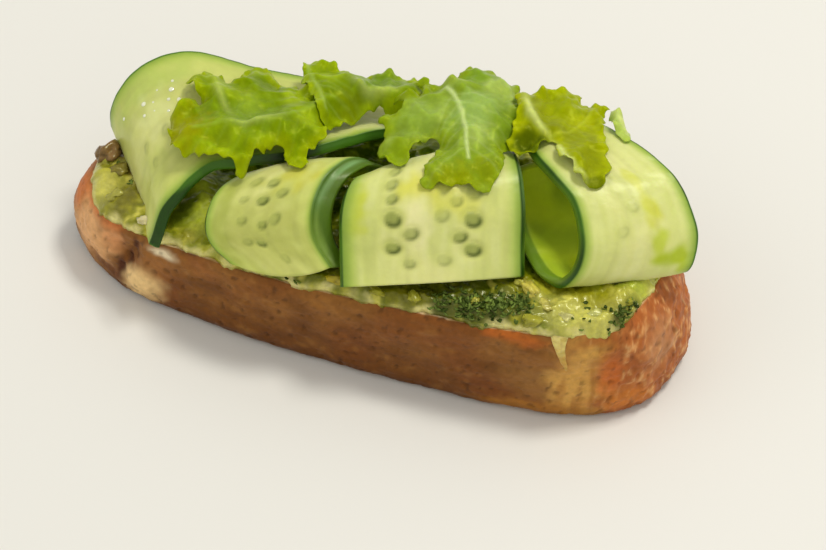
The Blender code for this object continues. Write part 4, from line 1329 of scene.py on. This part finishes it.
def leaf_tones(shape, flat, from_edge, pale, vein, crumple_shading):
    """Yellow-green leaf, yellower at the frilled edge, darker in the crumple valleys as
    painted shade, and paler along veins and folds, the folds partly as painted highlight.
    """
    cloud, fine = lumps(flat, 7.0, 3.0), lumps(flat, 1.8, 9.0)
    tone = layered(shape["body"], [
        (shape["light"], 0.7, cloud, -0.2, 0.9),
        # painted shade in the crumple valleys
        (0.6, 0.5, -crumple_shading, -0.9, -0.2),
        (1.25, 0.6, cloud + 0.4 * fine, 0.0, 0.9),
        (shape["rim"], 0.7, -from_edge - 0.6 * cloud, -3.0, -0.3)])
    tone = patched(tone, flat[:, :2], shape["shades"], 0.3 * fine, 0.3, 1.2)
    tone = mix(tone, shape["vein"], vein)
    # pale folds, partly painted highlight on their ridges
    return mix(tone, (212, 222, 132), 0.85 * pale)


# ---- stage

# The photo's camera: place in mm, and turns in degrees. The picture shows the toast
# ENLARGED times as large as the photo does.
CAMERA_PLACE = (132.4, -386.7, 514.5)
CAMERA_TURN = 16.89
CAMERA_DOWN = 49.67
CAMERA_ROLL = 3.04
CAMERA_LENS = 56.556
FRAME_WIDTH = 36.0
ENLARGED = 2.2

# The area lights: place and size in metres, power and colour.
LIGHTS = {
    "window": ((0.26, 0.25, 1.02), 0.24, 5.4, (1.0, 0.98, 0.93)),
    "fill": ((-0.75, -0.45, 0.7), 0.8, 1.2, (1.0, 0.98, 0.96)),
}
LIT_SPOT = (0, 0, 0.02)
SKY_COLOUR = (1.0, 0.99, 0.97, 1)
SKY_STRENGTH = 0.62
FLOOR_COLOUR = (0.80, 0.785, 0.72, 1)
FLOOR_SIZE = 8.0


def make_camera():
    """The photo's view."""
    data = bpy.data.cameras.new("view")
    data.sensor_width = FRAME_WIDTH
    data.lens = CAMERA_LENS * ENLARGED
    data.clip_start = 0.01
    camera = put_in_scene("view", data)
    turn = Matrix.Rotation(math.radians(CAMERA_TURN), 4, 'Z')
    tilt = Matrix.Rotation(math.radians(90 - CAMERA_DOWN), 4, 'X')
    roll = Matrix.Rotation(math.radians(CAMERA_ROLL), 4, 'Z')
    camera.matrix_world = Matrix.Translation(Vector(place(CAMERA_PLACE))) @ turn @ tilt @ roll
    bpy.context.scene.camera = camera


def make_light(name, spot, size, power, colour):
    """A square area light that points at LIT_SPOT."""
    data = bpy.data.lights.new(name, 'AREA')
    data.shape = 'SQUARE'
    data.size = size
    data.energy = power
    data.color = colour
    light = put_in_scene(name, data)
    light.location = spot
    aim = Vector(LIT_SPOT) - Vector(spot)
    light.rotation_euler = aim.to_track_quat('-Z', 'Y').to_euler()


def make_stage():
    """The pale table, soft light from all round, and the two lights."""
    bpy.ops.mesh.primitive_plane_add(size=FLOOR_SIZE)
    floor = bpy.context.object
    floor.name = "floor"
    material = bpy.data.materials.new("pale_floor")
    material.use_nodes = True
    fill(material.node_tree.nodes["Principled BSDF"],
         {"Base Color": FLOOR_COLOUR, "Roughness": 0.6})
    floor.data.materials.append(material)
    world = bpy.data.worlds.new("studio")
    world.use_nodes = True
    fill(world.node_tree.nodes["Background"], {"Color": SKY_COLOUR, "Strength": SKY_STRENGTH})
    bpy.context.scene.world = world
    for name, settings in LIGHTS.items():
        make_light(name, *settings)
    bpy.context.scene.view_settings.view_transform = 'Standard'


# ---- build


def add(piece, node=None):
    """Fix a piece to the toast's one body, hide the solid it replaces, and return its ray-casting
    tree.
    """
    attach(piece, "root")
    if node is not None:
        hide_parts(node)
    return surface_tree(piece)


# What food_material takes for each material.
MATERIALS = {
    "baked_crust": dict(
        roughness=0.5, mottle=(1.4, 0.88, 1.1), bumps=[(0.9, 0.10), (0.35, 0.05)],
        specular=0.3, gloss=(1.0, 0.85, 0.6)),
    "mashed_avocado": dict(
        roughness=0.3, mottle=(0.9, 0.86, 1.1), bumps=[(1.0, 0.12), (0.4, 0.05)],
        subsurface=0.25, radius=(2.0, 1.8, 0.5), coat=0.25, specular=0.4, gloss=(1.0, 1.0, 0.4)),
    "cucumber_flesh": dict(
        roughness=0.34, mottle=(1.6, 0.97, 1.02), bumps=[(0.8, 0.03)],
        subsurface=0.35, radius=(2.2, 2.6, 1.2), specular=0.35, gloss=(1.0, 1.0, 0.8)),
    "cucumber_juice": dict(
        roughness=0.06, mottle=(2.0, 0.98, 1.02), bumps=[(2.0, 0.02)],
        subsurface=0.3, radius=(1.0, 1.2, 0.8), coat=1.0, specular=0.8),
    "lettuce_skin": dict(
        roughness=0.34, mottle=(1.5, 0.92, 1.08), bumps=[(0.8, 0.08)],
        subsurface=0.3, radius=(0.8, 1.1, 0.1), specular=0.24, gloss=(0.95, 1.0, 0.1)),
    "chopped_herb": dict(
        roughness=0.4, mottle=(0.7, 0.8, 1.2), bumps=[(0.4, 0.04)],
        specular=0.25, gloss=(0.9, 1.0, 0.4)),
}


def main():
    """Make every piece, from the bread up, then the stage and the camera."""
    looks = {name: food_material(name, **settings) for name, settings in MATERIALS.items()}
    mash = looks["mashed_avocado"]
    crust_tree = add(make_crust(looks["baked_crust"]), "bread_slice")
    mash_tree = add(make_spread(mash), "avocado_spread")
    add(make_chunks([crust_tree, mash_tree], mash))
    add(make_drip(mash))
    add(make_herbs(mash_tree, looks["chopped_herb"]))
    laid = []
    for name in RIBBONS:
        laid.append(add(make_ribbon(name, looks["cucumber_flesh"]), name))
    add(make_drops(looks["cucumber_juice"]))
    for name in LEAVES:
        laid.append(add(make_leaf(name, laid, looks["lettuce_skin"]), name))
    make_stage()
    make_camera()


main()
